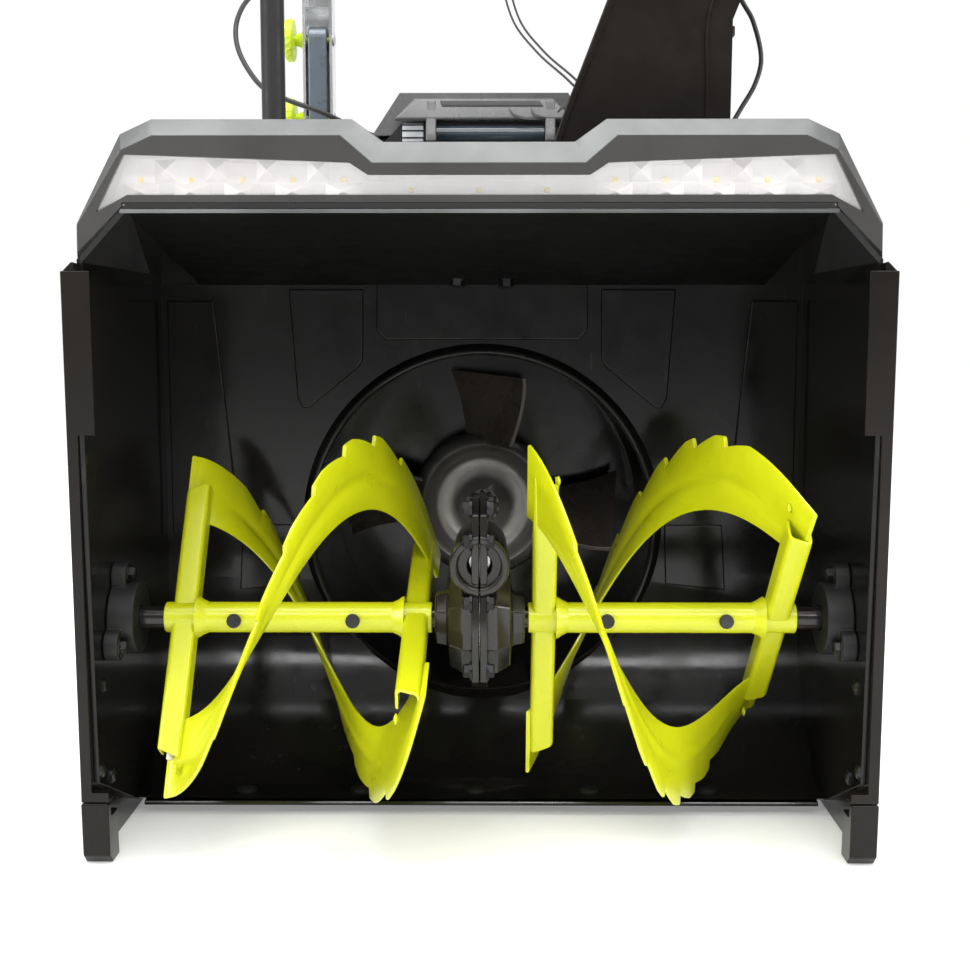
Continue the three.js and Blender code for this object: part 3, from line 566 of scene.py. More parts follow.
LENS_CLEAR, tree, shader, here = new_finish("lens_clear")
tree.links.new(
    blended(tree, cloud(tree, here, 12), [(0.3, (0.93, 0.93, 0.94)), (0.7, (1.0, 1.0, 1.0))]),
    shader.inputs["Base Color"],
)
tree.links.new(ranged(tree, cloud(tree, here, 60), 0.02, 0.07), shader.inputs["Roughness"])
relief(tree, shader, [(cloud(tree, here, 180), 0.00001)])
shader.inputs["Alpha"].default_value = 0.10
shader.inputs["IOR"].default_value = 1.5

DIODE_WARM, tree, shader, here = new_finish("diode_warm")
tree.links.new(
    blended(tree, cloud(tree, here, 500), [(0.4, (0.86, 0.68, 0.16)), (0.6, (0.95, 0.82, 0.42))]),
    shader.inputs["Base Color"],
)
tree.links.new(ranged(tree, cloud(tree, here, 300), 0.3, 0.5), shader.inputs["Roughness"])
relief(tree, shader, [(cloud(tree, here, 900), 0.00003)])

# %% [markdown]
# ## Geometry Nodes for what repeats
# Bolts, diodes, ribs, lugs and the reflector's cells are each one small shape at many places. A
# tree takes a cloud of points, each with the direction that it faces, puts the shape at every point
# and makes it real. The sizes are named inputs. The result is kept as plain mesh, one piece for
# each body.

# %% Geometry Nodes helpers


def tree_named(name, sizes):
    """A node tree with a mesh in, a finish, and named sizes."""
    tree = bpy.data.node_groups.new(name, "GeometryNodeTree")
    tree.interface.new_socket("Geometry", in_out="INPUT", socket_type="NodeSocketGeometry")
    tree.interface.new_socket("Finish", in_out="INPUT", socket_type="NodeSocketMaterial")
    for label, value in sizes.items():
        socket = tree.interface.new_socket(label, in_out="INPUT", socket_type="NodeSocketFloat")
        socket.default_value = value
    tree.interface.new_socket("Geometry", in_out="OUTPUT", socket_type="NodeSocketGeometry")
    entry = tree.nodes.new("NodeGroupInput")
    exit_node = tree.nodes.new("NodeGroupOutput")
    return tree, entry, exit_node


def node_in(tree, kind, values=None, **settings):
    """A node with some settings and input values; a value may be a socket to link."""
    made = tree.nodes.new(kind)
    for key, value in settings.items():
        setattr(made, key, value)
    for key, value in (values or {}).items():
        if isinstance(value, bpy.types.NodeSocket):
            tree.links.new(value, made.inputs[key])
        else:
            made.inputs[key].default_value = value
    return made


def sized(tree, *sockets):
    """A vector from three sockets or numbers."""
    return node_in(tree, "ShaderNodeCombineXYZ", dict(zip("XYZ", sockets))).outputs[0]


def shifted(tree, geometry, offset=(0, 0, 0), scale=(1, 1, 1)):
    made = node_in(tree, "GeometryNodeTransform", {"Geometry": geometry})
    for key, value in (("Translation", offset), ("Scale", scale)):
        if isinstance(value, bpy.types.NodeSocket):
            tree.links.new(value, made.inputs[key])
        else:
            made.inputs[key].default_value = value
    return made.outputs[0]


def times(tree, socket, factor):
    return node_in(tree, "ShaderNodeMath", {0: socket, 1: factor}, operation="MULTIPLY").outputs[0]


def placed_everywhere(tree, entry, exit_node, shape):
    """Instances the shape on the incoming points, turned to their facing and roll, and makes it real."""
    facing = node_in(tree, "GeometryNodeInputNamedAttribute", {"Name": "facing"}, data_type="FLOAT_VECTOR")
    rolling = node_in(tree, "GeometryNodeInputNamedAttribute", {"Name": "rolling"}, data_type="FLOAT_VECTOR")
    upright = node_in(
        tree, "FunctionNodeAlignRotationToVector", {"Vector": facing.outputs["Attribute"]}, axis="Z"
    )
    turned = node_in(
        tree,
        "FunctionNodeAlignRotationToVector",
        {"Rotation": upright.outputs[0], "Vector": rolling.outputs["Attribute"]},
        axis="X",
        pivot_axis="Z",
    )
    spread = node_in(
        tree,
        "GeometryNodeInstanceOnPoints",
        {"Points": entry.outputs["Geometry"], "Instance": shape, "Rotation": turned.outputs[0]},
    )
    real = node_in(tree, "GeometryNodeRealizeInstances", {"Geometry": spread.outputs[0]})
    painted = node_in(
        tree,
        "GeometryNodeSetMaterial",
        {"Geometry": real.outputs[0], "Material": entry.outputs["Finish"]},
    )
    tree.links.new(painted.outputs[0], exit_node.inputs[0])


def grown(name, tree, places, finish, body, sizes, crease=40):
    """Runs a tree over places, each (point, facing, rolling) in millimetres, and keeps the result."""
    mesh = bpy.data.meshes.new(name)
    mesh.from_pydata([Vector(p) * MM for p, _, _ in places], [], [])
    for label, index in (("facing", 1), ("rolling", 2)):
        data = mesh.attributes.new(label, "FLOAT_VECTOR", "POINT").data
        for item, place in zip(data, places):
            item.vector = place[index]
    thing = bpy.data.objects.new(name, mesh)
    bpy.context.scene.collection.objects.link(thing)
    growth = thing.modifiers.new("growth", "NODES")
    growth.node_group = tree
    sockets = {item.name: item.identifier for item in tree.interface.items_tree if item.in_out == "INPUT"}
    growth[sockets["Finish"]] = finish
    for label, value in sizes.items():
        growth[sockets[label]] = value
    settle(thing)
    for label in ("facing", "rolling"):
        if label in thing.data.attributes:
            thing.data.attributes.remove(thing.data.attributes[label])
    shade(thing, crease)
    thing.data.name = name
    return hand_over(thing, body, ())


# %% [markdown]
# ### Three small shapes
# A hexagon bolt is a washer, a head and a chamfered crown, stacked. A dome bolt is a squashed ball
# on a flange. The block is a four-sided cone with a wide or a narrow top, so it serves as lug, rib,
# vent, diode or pyramid.

# %% A hexagon bolt, a dome bolt and a block, as trees


def hex_bolt_tree():
    """Washer, hexagon and a chamfer cone, standing on the point."""
    tree, entry, exit_node = tree_named("hexagon_bolt", {"Head Radius": 0.005, "Head Height": 0.004})
    radius, height = entry.outputs["Head Radius"], entry.outputs["Head Height"]
    washer = node_in(
        tree,
        "GeometryNodeMeshCylinder",
        {"Vertices": 20, "Radius": times(tree, radius, 1.35), "Depth": times(tree, height, 0.3)},
    ).outputs["Mesh"]
    head = node_in(
        tree, "GeometryNodeMeshCylinder", {"Vertices": 6, "Radius": radius, "Depth": times(tree, height, 0.8)}
    ).outputs["Mesh"]
    crown = node_in(
        tree,
        "GeometryNodeMeshCone",
        {
            "Vertices": 6,
            "Radius Bottom": radius,
            "Radius Top": times(tree, radius, 0.82),
            "Depth": times(tree, height, 0.2),
        },
    ).outputs["Mesh"]
    parts = node_in(tree, "GeometryNodeJoinGeometry")
    tree.links.new(washer, parts.inputs[0])
    tree.links.new(shifted(tree, head, sized(tree, 0.0, 0.0, times(tree, height, 0.5))), parts.inputs[0])
    tree.links.new(shifted(tree, crown, sized(tree, 0.0, 0.0, times(tree, height, 0.9))), parts.inputs[0])
    placed_everywhere(tree, entry, exit_node, parts.outputs[0])
    return tree


def dome_bolt_tree():
    """A low dome on a thin flange."""
    tree, entry, exit_node = tree_named("dome_bolt", {"Head Radius": 0.008, "Head Height": 0.003})
    radius, height = entry.outputs["Head Radius"], entry.outputs["Head Height"]
    ball = node_in(
        tree, "GeometryNodeMeshUVSphere", {"Segments": 24, "Rings": 10, "Radius": times(tree, radius, 0.86)}
    ).outputs["Mesh"]
    flat = node_in(tree, "ShaderNodeMath", {0: height, 1: radius}, operation="DIVIDE").outputs[0]
    flange = node_in(
        tree,
        "GeometryNodeMeshCylinder",
        {"Vertices": 24, "Radius": radius, "Depth": times(tree, height, 0.5)},
    ).outputs["Mesh"]
    parts = node_in(tree, "GeometryNodeJoinGeometry")
    tree.links.new(shifted(tree, ball, (0, 0, 0), sized(tree, 1.0, 1.0, flat)), parts.inputs[0])
    tree.links.new(flange, parts.inputs[0])
    placed_everywhere(tree, entry, exit_node, parts.outputs[0])
    return tree


def block_tree():
    """A small block with a narrower top: lugs, ribs and diodes."""
    sizes = {"Length": 0.01, "Width": 0.01, "Height": 0.004, "Taper": 0.7}
    tree, entry, exit_node = tree_named("tapered_block", sizes)
    height = entry.outputs["Height"]
    half_diagonal = math.sqrt(0.5)
    cone = node_in(
        tree,
        "GeometryNodeMeshCone",
        {
            "Vertices": 4,
            "Radius Bottom": half_diagonal,
            "Radius Top": times(tree, entry.outputs["Taper"], half_diagonal),
            "Depth": 1.0,
        },
    ).outputs["Mesh"]
    turn = node_in(tree, "GeometryNodeTransform", {"Geometry": cone, "Rotation": (0, 0, math.pi / 4)})
    block = shifted(
        tree,
        turn.outputs[0],
        (0, 0, 0),
        sized(tree, entry.outputs["Length"], entry.outputs["Width"], height),
    )
    placed_everywhere(tree, entry, exit_node, block)
    return tree


HEX_BOLT = hex_bolt_tree()
DOME_BOLT = dome_bolt_tree()
TAPERED_BLOCK = block_tree()


def bolts(name, tree, places, radius, height, finish=DARK_BOLT, body="chassis"):
    """Bolt heads of a radius and a height in millimetres."""
    sizes = {"Head Radius": radius * MM, "Head Height": height * MM}
    return grown(name, tree, places, finish, body, sizes)


def blocks(name, places, finish, body, slot, sizes, crease=40):
    """Blocks of (length, width, height, taper), the lengths in millimetres."""
    length, width, height, taper = sizes
    values = {"Length": length * MM, "Width": width * MM, "Height": height * MM, "Taper": taper}
    return grown(name, TAPERED_BLOCK, places, finish, body, values, crease)


print("trees", [tree.name for tree in bpy.data.node_groups])

# %% [markdown]
# ## The auger
# Each half is a tube on the cross shaft with two folded steel arms and two ribbons that carry the
# snow inwards. A ribbon is a strip of sheet bent into a quickening helix: its outer edge is cut
# into saw teeth and a bead is pressed along it for stiffness. A loft along the helix gives all of
# that from one section, which a twisted plane can't.

# %% Auger sizes
SHAFT_LOW, SHAFT_HIGH = span("auger_shaft")
AUGER_Y, AUGER_Z = (SHAFT_LOW.y + SHAFT_HIGH.y) / 2, (SHAFT_LOW.z + SHAFT_HIGH.z) / 2
AUGER_R = 152.4
BORE_R = 9.9
TUBE_R = 12.7
TUBE_IN, TUBE_OUT = span("auger_left")[0].x, span("auger_left")[1].x
ARM_IN, ARM_OUT = 53, 246
INNER_ARM_HALF, OUTER_ARM_HALF = 130, 119
ARM_ANGLES = {
    "left": (math.radians(20), math.radians(225)),
    "right": (math.radians(-73), math.radians(146)),
}
# Each ribbon's first and last place along the axis, and the power that its turn quickens by.
RIBBONS = {
    "left": ((44, 245, 1.36), (45, 247, 1.08)),
    "right": ((44, 243, 1.33), (44, 250, 1.42)),
}
RIBBON_INNER = 90
RIBBON_STEPS = 240
SHEET_HALF = 1.6
BEAD_R, BEAD_WIDTH, BEAD_RISE = 116, 4.5, 2.2
TOOTH_FIRST, TOOTH_LAST, TOOTH_PITCH, TOOTH_DEPTH = 0.14, 0.86, 0.09, 9.0
print("auger axis at", round(AUGER_Y), round(AUGER_Z), "tube from", round(TUBE_IN), "to", round(TUBE_OUT))

# %% Ribbons


def auger_point(x, radius, angle):
    return Vector((x, AUGER_Y - radius * math.sin(angle), AUGER_Z + radius * math.cos(angle)))


def ribbon_turn(share, power):
    return 1 - abs(1 - share) ** power * (1 if share < 1 else -1)


def tooth_depth(share):
    """Saw teeth: the edge climbs for most of a pitch, runs level, then drops square."""
    if not TOOTH_FIRST < share < TOOTH_LAST:
        return 0.0
    phase = ((share - TOOTH_FIRST) / TOOTH_PITCH) % 1
    return TOOTH_DEPTH * max(0.0, 1 - phase / 0.7)


def ribbon_section(x, angle, outer, bead):
    """A closed loop across the strip, thin at both edges, with the pressed bead."""
    radii = [RIBBON_INNER, RIBBON_INNER + 1.2, 106, 110, 113, 116, 119, 122, 126, outer - 1.2, outer]
    front, back = [], []
    for k, radius in enumerate(radii):
        lift = bead * math.exp(-(((radius - BEAD_R) / BEAD_WIDTH) ** 2))
        thick = SHEET_HALF * (0.45 if k in (0, len(radii) - 1) else 1.0)
        front.append(auger_point(x - thick + lift, radius, angle))
        back.append(auger_point(x + thick + lift, radius, angle))
    return front + back[::-1]


def ribbon(angles, half_turn, first, last, power):
    """One strip, from just before the inner arm to just past the outer one."""
    rings = []
    for i in range(RIBBON_STEPS + 1):
        share = -0.02 + 1.04 * i / RIBBON_STEPS
        angle = half_turn + angles[0] + (angles[1] - angles[0]) * ribbon_turn(share, power)
        fade = max(0.0, min(1.0, (share - 0.12) / 0.1, (0.9 - share) / 0.1))
        x = first + (last - first) * share
        rings.append(ribbon_section(x, angle, AUGER_R - tooth_depth(share), BEAD_RISE * fade))
    return loft(rings)


# %% Arms, welds and sleeves


def channel_section():
    """Half of a folded channel's outline, outside and then inside, and its mirror."""
    outside = [(-10, -9), (-10, 4.4), (-9.3, 6.9), (-7.6, 8.5), (-5.4, 9)]
    inside = [(7.6, -9), (7.6, 4.2), (6.6, 6.0), (4.8, 6.7)]
    return (
        outside
        + [(-u, v) for u, v in reversed(outside)]
        + inside
        + [(-u, v) for u, v in reversed(inside)]
    )


def channel_arm(x, angle, half):
    """A folded U-channel through the tube, open at the back, with slanted ends."""
    along = Vector((0, -math.sin(angle), math.cos(angle)))
    front = Vector((0, -math.cos(angle), -math.sin(angle)))
    middle = Vector((x, AUGER_Y, AUGER_Z))
    rings = []
    for share in (-1, -0.985, 0.985, 1):
        narrow = 0.965 if abs(share) == 1 else 1.0
        ring = []
        for u, v in channel_section():
            reach = half * share - 2.5 * share * u / 6
            ring.append(middle + X * (u * narrow) + front * v + along * reach)
        rings.append(ring)
    return loft(rings)


def weld(x, direction):
    """A fillet of weld round the tube, at one face of an arm, uneven as a hand-laid bead is."""
    profile = [(12.4, 0), (17.6, 0), (16.6, 2.4), (14.6, 5.2), (13.2, 8.6), (12.4, 10)]
    rings = []
    for k, (radius, along) in enumerate(profile):
        ring = []
        for i in range(48):
            angle = 2 * math.pi * i / 48
            spot = Vector((math.cos(angle) * 2.2, math.sin(angle) * 2.2, x * 0.1 + k * 0.15))
            wobble = 0.7 * noise.noise(spot) if 0 < k < 5 else 0
            ring.append(auger_point(x + direction * along, radius + wobble, angle))
        rings.append(ring)
    return loft(rings, loop=True)


def sleeve(inner, outer, x0, x1, centre_y, centre_z):
    """A hollow round sleeve along X with eased rims."""
    ease = min(0.6, (outer - inner) / 3)
    profile = [
        (inner, x0),
        (outer - ease, x0),
        (outer, x0 + ease),
        (outer, x1 - ease),
        (outer - ease, x1),
        (inner, x1),
    ]
    return lathe(profile, (0, centre_y, centre_z), X, 48, ring=True)


# %% Make the auger halves
def auger_paint(name, shape, **more):
    return piece(name, shape, LIME_COAT, "auger", "auger_paint", **more)


def arm_welds():
    """A weld on each face of an arm that has room on the tube."""
    faces = [(x, way) for x in (ARM_IN, ARM_OUT) for way in (-1, 1)]
    return joined(*[weld(x + 10 * way, way) for x, way in faces if TUBE_IN < x + 20 * way < TUBE_OUT])


for name, side in SIDES:
    angles = ARM_ANGLES[name]
    tube = sleeve(BORE_R, TUBE_R, TUBE_IN, TUBE_OUT, AUGER_Y, AUGER_Z)
    auger_paint("auger_tube_" + name, mirrored(tube, side), replaces=("auger_" + name,))
    arms = joined(
        channel_arm(ARM_IN, angles[0], INNER_ARM_HALF),
        channel_arm(ARM_OUT, angles[1] + math.pi, OUTER_ARM_HALF),
    )
    auger_paint("auger_arms_" + name, mirrored(arms, side), bevel=0.5)
    ribbons = joined(*[ribbon(angles, math.pi * i, *one) for i, one in enumerate(RIBBONS[name])])
    auger_paint("auger_ribbons_" + name, mirrored(ribbons, side), crease=50)
    auger_paint("auger_welds_" + name, mirrored(arm_welds(), side))
    for i in (1, 2):
        refined(f"shear_pin_{name}_{i}", DARK_BOLT, "auger", "steel", bevel=0.8)
print("auger pieces", len(MADE))

# %% [markdown]
# ### Rivets, end rods and the shaft
# Each ribbon is riveted near its ends, and a pale rod closes the outer arm's end. Their places come
# from the same angles as the arms, so they stay on the steel if the arms are turned.

# %% Rivets, rods in the arms' ends, and the cross shaft
END_ROD = [(0, 0), (2.6, 0), (3.1, 0.7), (3.1, 19), (0, 19)]


def on_side(point, side):
    """A point of the left half, or its mirror on the right."""
    return Vector((point.x * side, point.y, point.z))


def rivet_places(name, side):
    """Two rivets at each arm, half a turn apart."""
    inner, outer = ARM_ANGLES[name]
    places = []
    for turn, x, way in ((inner, ARM_IN, 1), (outer, ARM_OUT, -1)):
        for half in (0, math.pi):
            spot = auger_point(x + way * 9, 134, turn + half + way * 0.1)
            places.append((on_side(spot, side), (-side * 1.0, 0, 0), (0, 1, 0)))
    return places


def end_rod(name, side):
    turn = ARM_ANGLES[name][1]
    end = on_side(auger_point(ARM_OUT, OUTER_ARM_HALF + 3, turn), side)
    start = on_side(auger_point(ARM_OUT, OUTER_ARM_HALF - 16, turn), side)
    return lathe(END_ROD, end, start - end, 20)


rivets = [place for name, side in SIDES for place in rivet_places(name, side)]
bolts("ribbon_rivets", DOME_BOLT, rivets, 4.2, 2.2, LIME_COAT, "auger")
rods = joined(*[end_rod(name, side) for name, side in SIDES])
piece("arm_end_rods", rods, CREAM_PART, "auger", "auger_paint")
refined("auger_shaft", DARK_CAST, "auger", "steel", bevel=0.8)
refined("worm_wheel", GROUND_STEEL, "auger", "steel", bevel=0.8)
print("rivets", len(rivets))

# %% [markdown]
# ## The gearbox
# The auger's gearbox is two dark castings bolted face to face on a flange. A worm on the impeller's
# shaft turns the wheel inside, so the impeller spins twenty times faster than the auger. A casting
# is full of round forms, so the case and the barrel are lathed, and only the flange is a flat
# plate.

# %% Gearbox
ROTOR_Z = (span("impeller_shaft")[0].z + span("impeller_shaft")[1].z) / 2
GEARBOX_FRONT = span("gearbox_half_left")[0].y
JOINT = 0.3
CASE = [(BORE_R, 0.4), (47, 0.4), (47, 14), (40, 25), (24, 27), (22, 36), (20, 37), (BORE_R, 37)]
BARREL = [
    (BORE_R, 6),
    (17.5, 6),
    (17.5, 1.5),
    (19, 0),
    (23, 0),
    (24.5, 1.5),
    (24.5, 20),
    (22.5, 23),
    (22.5, 110),
    (20, 116),
    (BORE_R, 116),
]
# The flange's corners, from the auger's axis.
FLANGE = [
    (-52, -30),
    (-44, -44),
    (-22, -54),
    (28, -54),
    (58, -18),
    (70, 14),
    (72, 88),
    (20, 98),
    (-30, 104),
    (-46, 92),
    (-51, 60),
    (-45, 30),
    (-54, 8),
]
FLANGE_BOLTS = [(-45, 98), (-49, 72), (-49, 22), (-46, -34), (26, -48), (40, 92)]


def gear_case():
    """An eight-sided case with a round boss, turned so that a flat faces down."""
    middle = Vector((0, AUGER_Y, AUGER_Z))
    case = lathe(CASE, middle, X, 8, ring=True)
    turn = Matrix.Rotation(math.pi / 8, 4, "X")
    return moved(case, Matrix.Translation(middle) @ turn @ Matrix.Translation(-middle))


def gearbox_half(side):
    """The case, half of the worm's barrel with a ring at its front, and the joint flange."""
    barrel = lathe(BARREL, (0, GEARBOX_FRONT, ROTOR_Z), Y, 40, ring=True)
    other_half = box(-70, JOINT, AUGER_Y - 120, AUGER_Y + 120, 60, 360)
    outline = [(AUGER_Y + dy, AUGER_Z + dz) for dy, dz in FLANGE]
    flange = plate(outline, "x", JOINT, 6.5)
    return mirrored(joined(gear_case(), subtract(barrel, other_half), flange), side)


def flange_bolts(way):
    """Places on one face of the flange, facing away from the joint."""
    return [((way * 6.8, AUGER_Y + dy, AUGER_Z + dz), (way, 0, 0), (0, 1, 0)) for dy, dz in FLANGE_BOLTS]


for name, side in SIDES:
    piece(
        "gearbox_case_" + name,
        gearbox_half(side),
        DARK_CAST,
        "chassis",
        "cast",
        ("gearbox_half_" + name,),
        bevel=1.3,
        segments=3,
        angle=30,
    )
bolts("gearbox_bolts", HEX_BOLT, flange_bolts(-1), 5.8, 6.2)
bolts("gearbox_nuts", HEX_BOLT, flange_bolts(1), 5.8, 4.8)
print("flange bolts", len(FLANGE_BOLTS))

# %% [markdown]
# ## The impeller
# The impeller is a pressed dish with broad curved blades, held by a toothed nut. Its raised ring
# catches the light. The dish is turned on the lathe, and each blade is a grid of points on a
# pitched and curled surface, given a thickness, because a flat plate would miss the curl that
# throws the snow.

# %% Impeller
DISH_Y = -201
DISH = [
    (BORE_R, -14),
    (17, -14),
    (18, -13),
    (20, -11),
    (24, -7),
    (30, -2),
    (42, 0),
    (50, -1),
    (55, -5),
    (60, -11),
    (65, -13.5),
    (70, -12),
    (75, -6),
    (78, 0.5),
    (78, 7),
    (30, 8),
    (26, 10),
    (26, 43),
    (BORE_R, 44),
]
BLADES = 4
BLADE_ROWS, BLADE_COLUMNS = 10, 14
BLADE_START, BLADE_LONG = 66, 74
BLADE_PITCH = 0.95
BLADE_HALF = 1.8


def spline_nut():
    """The toothed nut at the middle of the dish."""
    rings = []
    for along, grow in ((-26, 0), (-24.5, 1.2), (-15, 1.2), (-14, 1.2)):
        ring = []
        for i in range(72):
            angle = 2 * math.pi * i / 72
            radius = 15.5 + grow - 2.4 * ((i // 3) % 2)
            across, up = radius * math.cos(angle), radius * math.sin(angle)
            ring.append(Vector((across, DISH_Y + along, ROTOR_Z + up)))
        rings.append(ring)
    return loft(rings)


def blade_line(row, face):
    """One row of points along a blade, on its front (-1) or its back (1)."""
    line = []
    for j in range(BLADE_COLUMNS + 1):
        share = j / BLADE_COLUMNS
        depth = (-40 + 80 * row / BLADE_ROWS) * (0.7 + 0.5 * share)
        curl = 10 * share**3
        rise = depth * math.sin(BLADE_PITCH) + curl + face * BLADE_HALF
        line.append(Vector((BLADE_START + BLADE_LONG * share, depth * math.cos(BLADE_PITCH), rise)))
    return line


def impeller_blade(index):
    """A broad blade with a rolled tip, pitched so that it throws the snow on."""
    blade = loft([blade_line(row, -1) + blade_line(row, 1)[::-1] for row in range(BLADE_ROWS + 1)])
    turn = Matrix.Rotation(index * 2 * math.pi / BLADES + 0.1, 4, "Y")
    return moved(blade, Matrix.Translation((0, DISH_Y - 14, ROTOR_Z)) @ turn)


def rotor_piece(name, shape, finish, **more):
    return piece(name, shape, finish, "impeller_rotor", "cast", **more)


dish = lathe(DISH, (0, DISH_Y, ROTOR_Z), Y, 72, ring=True)
rotor_piece("impeller_dish", dish, DISH_STEEL, replaces=("impeller",))
rotor_piece("impeller_nut", spline_nut(), BROWN_BLADE, bevel=0.4)
blades = joined(*[impeller_blade(i) for i in range(BLADES)])
rotor_piece("impeller_blades", blades, BROWN_BLADE, bevel=0.8)
refined("impeller_shaft", GROUND_STEEL, "impeller_rotor", "steel", bevel=1.0)
print("impeller with", BLADES, "blades at height", round(ROTOR_Z))

# %% [markdown]
# ## The intake
# One big moulding: a ceiling that falls to the back wall, a curved floor that the auger sweeps, and
# side walls with bevelled top corners. Its back wall is pressed into shallow panels, which keep a
# large flat moulding from ringing. The panels are thin plates with soft edges laid on the wall,
# because a boolean on so large a shell would leave ragged shading.

# %% Intake housing
LIP_Y = span("auger_housing")[0].y
WALL_Y = -353.0
# Outlines in (x, z) on the operator's left; each has a mirror on the right.
SIDE_PANELS = [
    [(-184, 466), (-177, 362), (-172, 353), (-166, 353), (-118, 392), (-114, 400), (-113, 466)],
    [(-300, 455), (-256, 455), (-240, 290), (-240, 250), (-300, 230)],
    [(-232, 240), (-176, 240), (-178, 182), (-236, 176)],
]
MIDDLE_PANEL = [(-100, 482), (-101, 428), (-93, 418), (93, 418), (101, 428), (100, 482)]
MOUTH_RIM = [
    (162.5, -8),
    (163.5, -9.5),
    (166.5, -10),
    (169, -8.5),
    (171, -3),
    (174, 0.5),
    (162.5, 0.5),
]


def gloss(name, shape, **more):
    return piece(name, shape, GLOSS_BLACK, "chassis", "housing_gloss", **more)


def wall_panel(outline, lift=3.0):
    """A shallow pressed panel on the back wall, from an (x, z) outline."""
    return plate(outline, "y", WALL_Y - lift, WALL_Y + 0.5)


def both_sides(outline):
    return [outline, [(-x, z) for x, z in reversed(outline)]]


refined("auger_housing", GLOSS_BLACK, "chassis", "housing_gloss", bevel=1.6, segments=3, angle=40)
panels = [wall_panel(outline) for shape in SIDE_PANELS for outline in both_sides(shape)]
panels.append(wall_panel(MIDDLE_PANEL, 2.5))
print("wall panels", len(panels))
gloss("wall_panels", joined(*panels), bevel=2.4, segments=4)
mouth_rim = lathe(MOUTH_RIM, (0, WALL_Y, ROTOR_Z), Y, 120, ring=True)
gloss("impeller_mouth_rim", mouth_rim, crease=60)

# %% [markdown]
# ### The ceiling
# The ceiling slopes from the lip down to the wall. It has a dull inner skin, so it doesn't mirror
# the light bar, a thin bead along its lip painted lighter as a highlight, and two bolts from the spout's
# flange.

# %% The ceiling's skin, bead and bolts
CEILING_LIP, CEILING_WALL = 519, 471
SKIN_HALF, BEAD_HALF = 268, 272
CEILING_BOLT_Y = -376


def ceiling_height(y):
    return CEILING_WALL + (WALL_Y - y) * (CEILING_LIP - CEILING_WALL) / (WALL_Y - LIP_Y)


def under_ceiling(y, drop):
    return y, ceiling_height(y) - drop


skin_front, skin_back = LIP_Y + 2, WALL_Y - 3
skin_section = [
    under_ceiling(skin_front, 0.2),
    under_ceiling(skin_back, 0.2),
    under_ceiling(skin_back, 1.6),
    under_ceiling(skin_front, 1.6),
]
ceiling_skin = plate(skin_section, "x", -SKIN_HALF, SKIN_HALF)
piece("ceiling_skin", ceiling_skin, CEILING_BLACK, "chassis", "housing_gloss", bevel=0.4)
bead_front, bead_back = LIP_Y - 0.2, LIP_Y + 2.4
bead_section = [(bead_front, 515.4), (bead_back, 515.4), (bead_back, 518.4), (bead_front, 518.4)]
lip_bead = plate(bead_section, "x", -BEAD_HALF, BEAD_HALF)
# The bead is the hood's grey plastic, painted lighter as a highlight along the lit lip.
piece("lip_bead", lip_bead, PAINTED_HIGHLIGHT_GREY, "chassis", "hood_grey", bevel=0.5)
bolt_height = ceiling_height(CEILING_BOLT_Y) - 1
ceiling_bolts = [((x, CEILING_BOLT_Y, bolt_height), (0, 0, -1), (1, 0, 0)) for x in (-23, 23)]
bolts("ceiling_bolts", HEX_BOLT, ceiling_bolts, 6.8, 6.0)

# %% [markdown]
# ## Side guards, shoes and scraper
# The outer plates carry stepped ribs and a rounded nose that meets the snow first. Steel shoes set
# the height, and the scraper bar under the floor's edge is held by low dome bolts. These pieces are
# plain plates, so the frame's own shapes are kept and only get rounded edges and their bolts.

# %% Guards, shoes and scraper
BEARING_BOLTS = 3
BEARING_BOLT_R = 37
FLOOR_BOLT_X = (-210, -108, -5, 97, 202)
WALL_BOLT_SPOTS = ((-585, 140), (-600, 74), (-570, 60))
SHOE_BOLT_SPOTS = ((-560, 40), (-470, 40))


def bearing_bolt_places(side):
    places = []
    for i in range(BEARING_BOLTS):
        angle = 2 * math.pi * i / BEARING_BOLTS + math.pi / 2
        y = AUGER_Y + BEARING_BOLT_R * math.cos(angle)
        z = AUGER_Z + BEARING_BOLT_R * math.sin(angle)
        places.append(((side * 292.5, y, z), (-side, 0, 0), (0, 1, 0)))
    return places


for name, side in SIDES:
    refined("side_guard_" + name, CHUTE_BLACK, "chassis", "housing_gloss", bevel=1.6, segments=3, angle=25)
    refined("skid_shoe_" + name, CHUTE_BLACK, "chassis", "cast", bevel=1.5, segments=3)
    refined("auger_bearing_" + name, DULL_BLACK, "chassis", "shell_matte", bevel=1.2, segments=3)
    bolts("bearing_bolts_" + name, HEX_BOLT, bearing_bolt_places(side), 6.2, 5.0)
    shoe_bolts = [((side * 316.4, y, z), (side, 0, 0), (0, 1, 0)) for y, z in SHOE_BOLT_SPOTS]
    bolts("shoe_bolts_" + name, DOME_BOLT, shoe_bolts, 9.0, 1.6)
refined("scraper_bar", DARK_CAST, "chassis", "cast", bevel=1.0)
floor_bolts = [((x, -482, 18.4), (0, 0, 1), (1, 0, 0)) for x in FLOOR_BOLT_X]
bolts("floor_bolts", DOME_BOLT, floor_bolts, 9.5, 3.4, DULL_BLACK)
wall_bolts = [((s * 304.6, y, z), (-s, 0, 0), (0, 1, 0)) for s in (-1, 1) for y, z in WALL_BOLT_SPOTS]
bolts("side_wall_bolts", DOME_BOLT, wall_bolts, 6.2, 3.4)
print("bolts in the floor and walls", len(floor_bolts) + len(wall_bolts))

# %% [markdown]
# ## The light bar
# A dark grey hood crowns the intake. Its front edge is broken by a wide bevel that catches the sky,
# and behind a clear lens a white reflector of small pyramids surrounds thirteen warm diodes. The
# hood is lofted from outlines of one shape, so that the bevel runs true round the notch in the
# middle. The bevel's upward faces are the hood's own grey, painted lighter as a highlight.

# %% Light hood
HOOD_BACK = span("light_hood")[1].y
FAR_FRONT, NEAR_BACK = LIP_Y - 20, WALL_Y + 20


def both(points):
    """Points on the operator's left, then mirrored back along the right."""
    return points + [(-x, z) for x, z in reversed(points)]


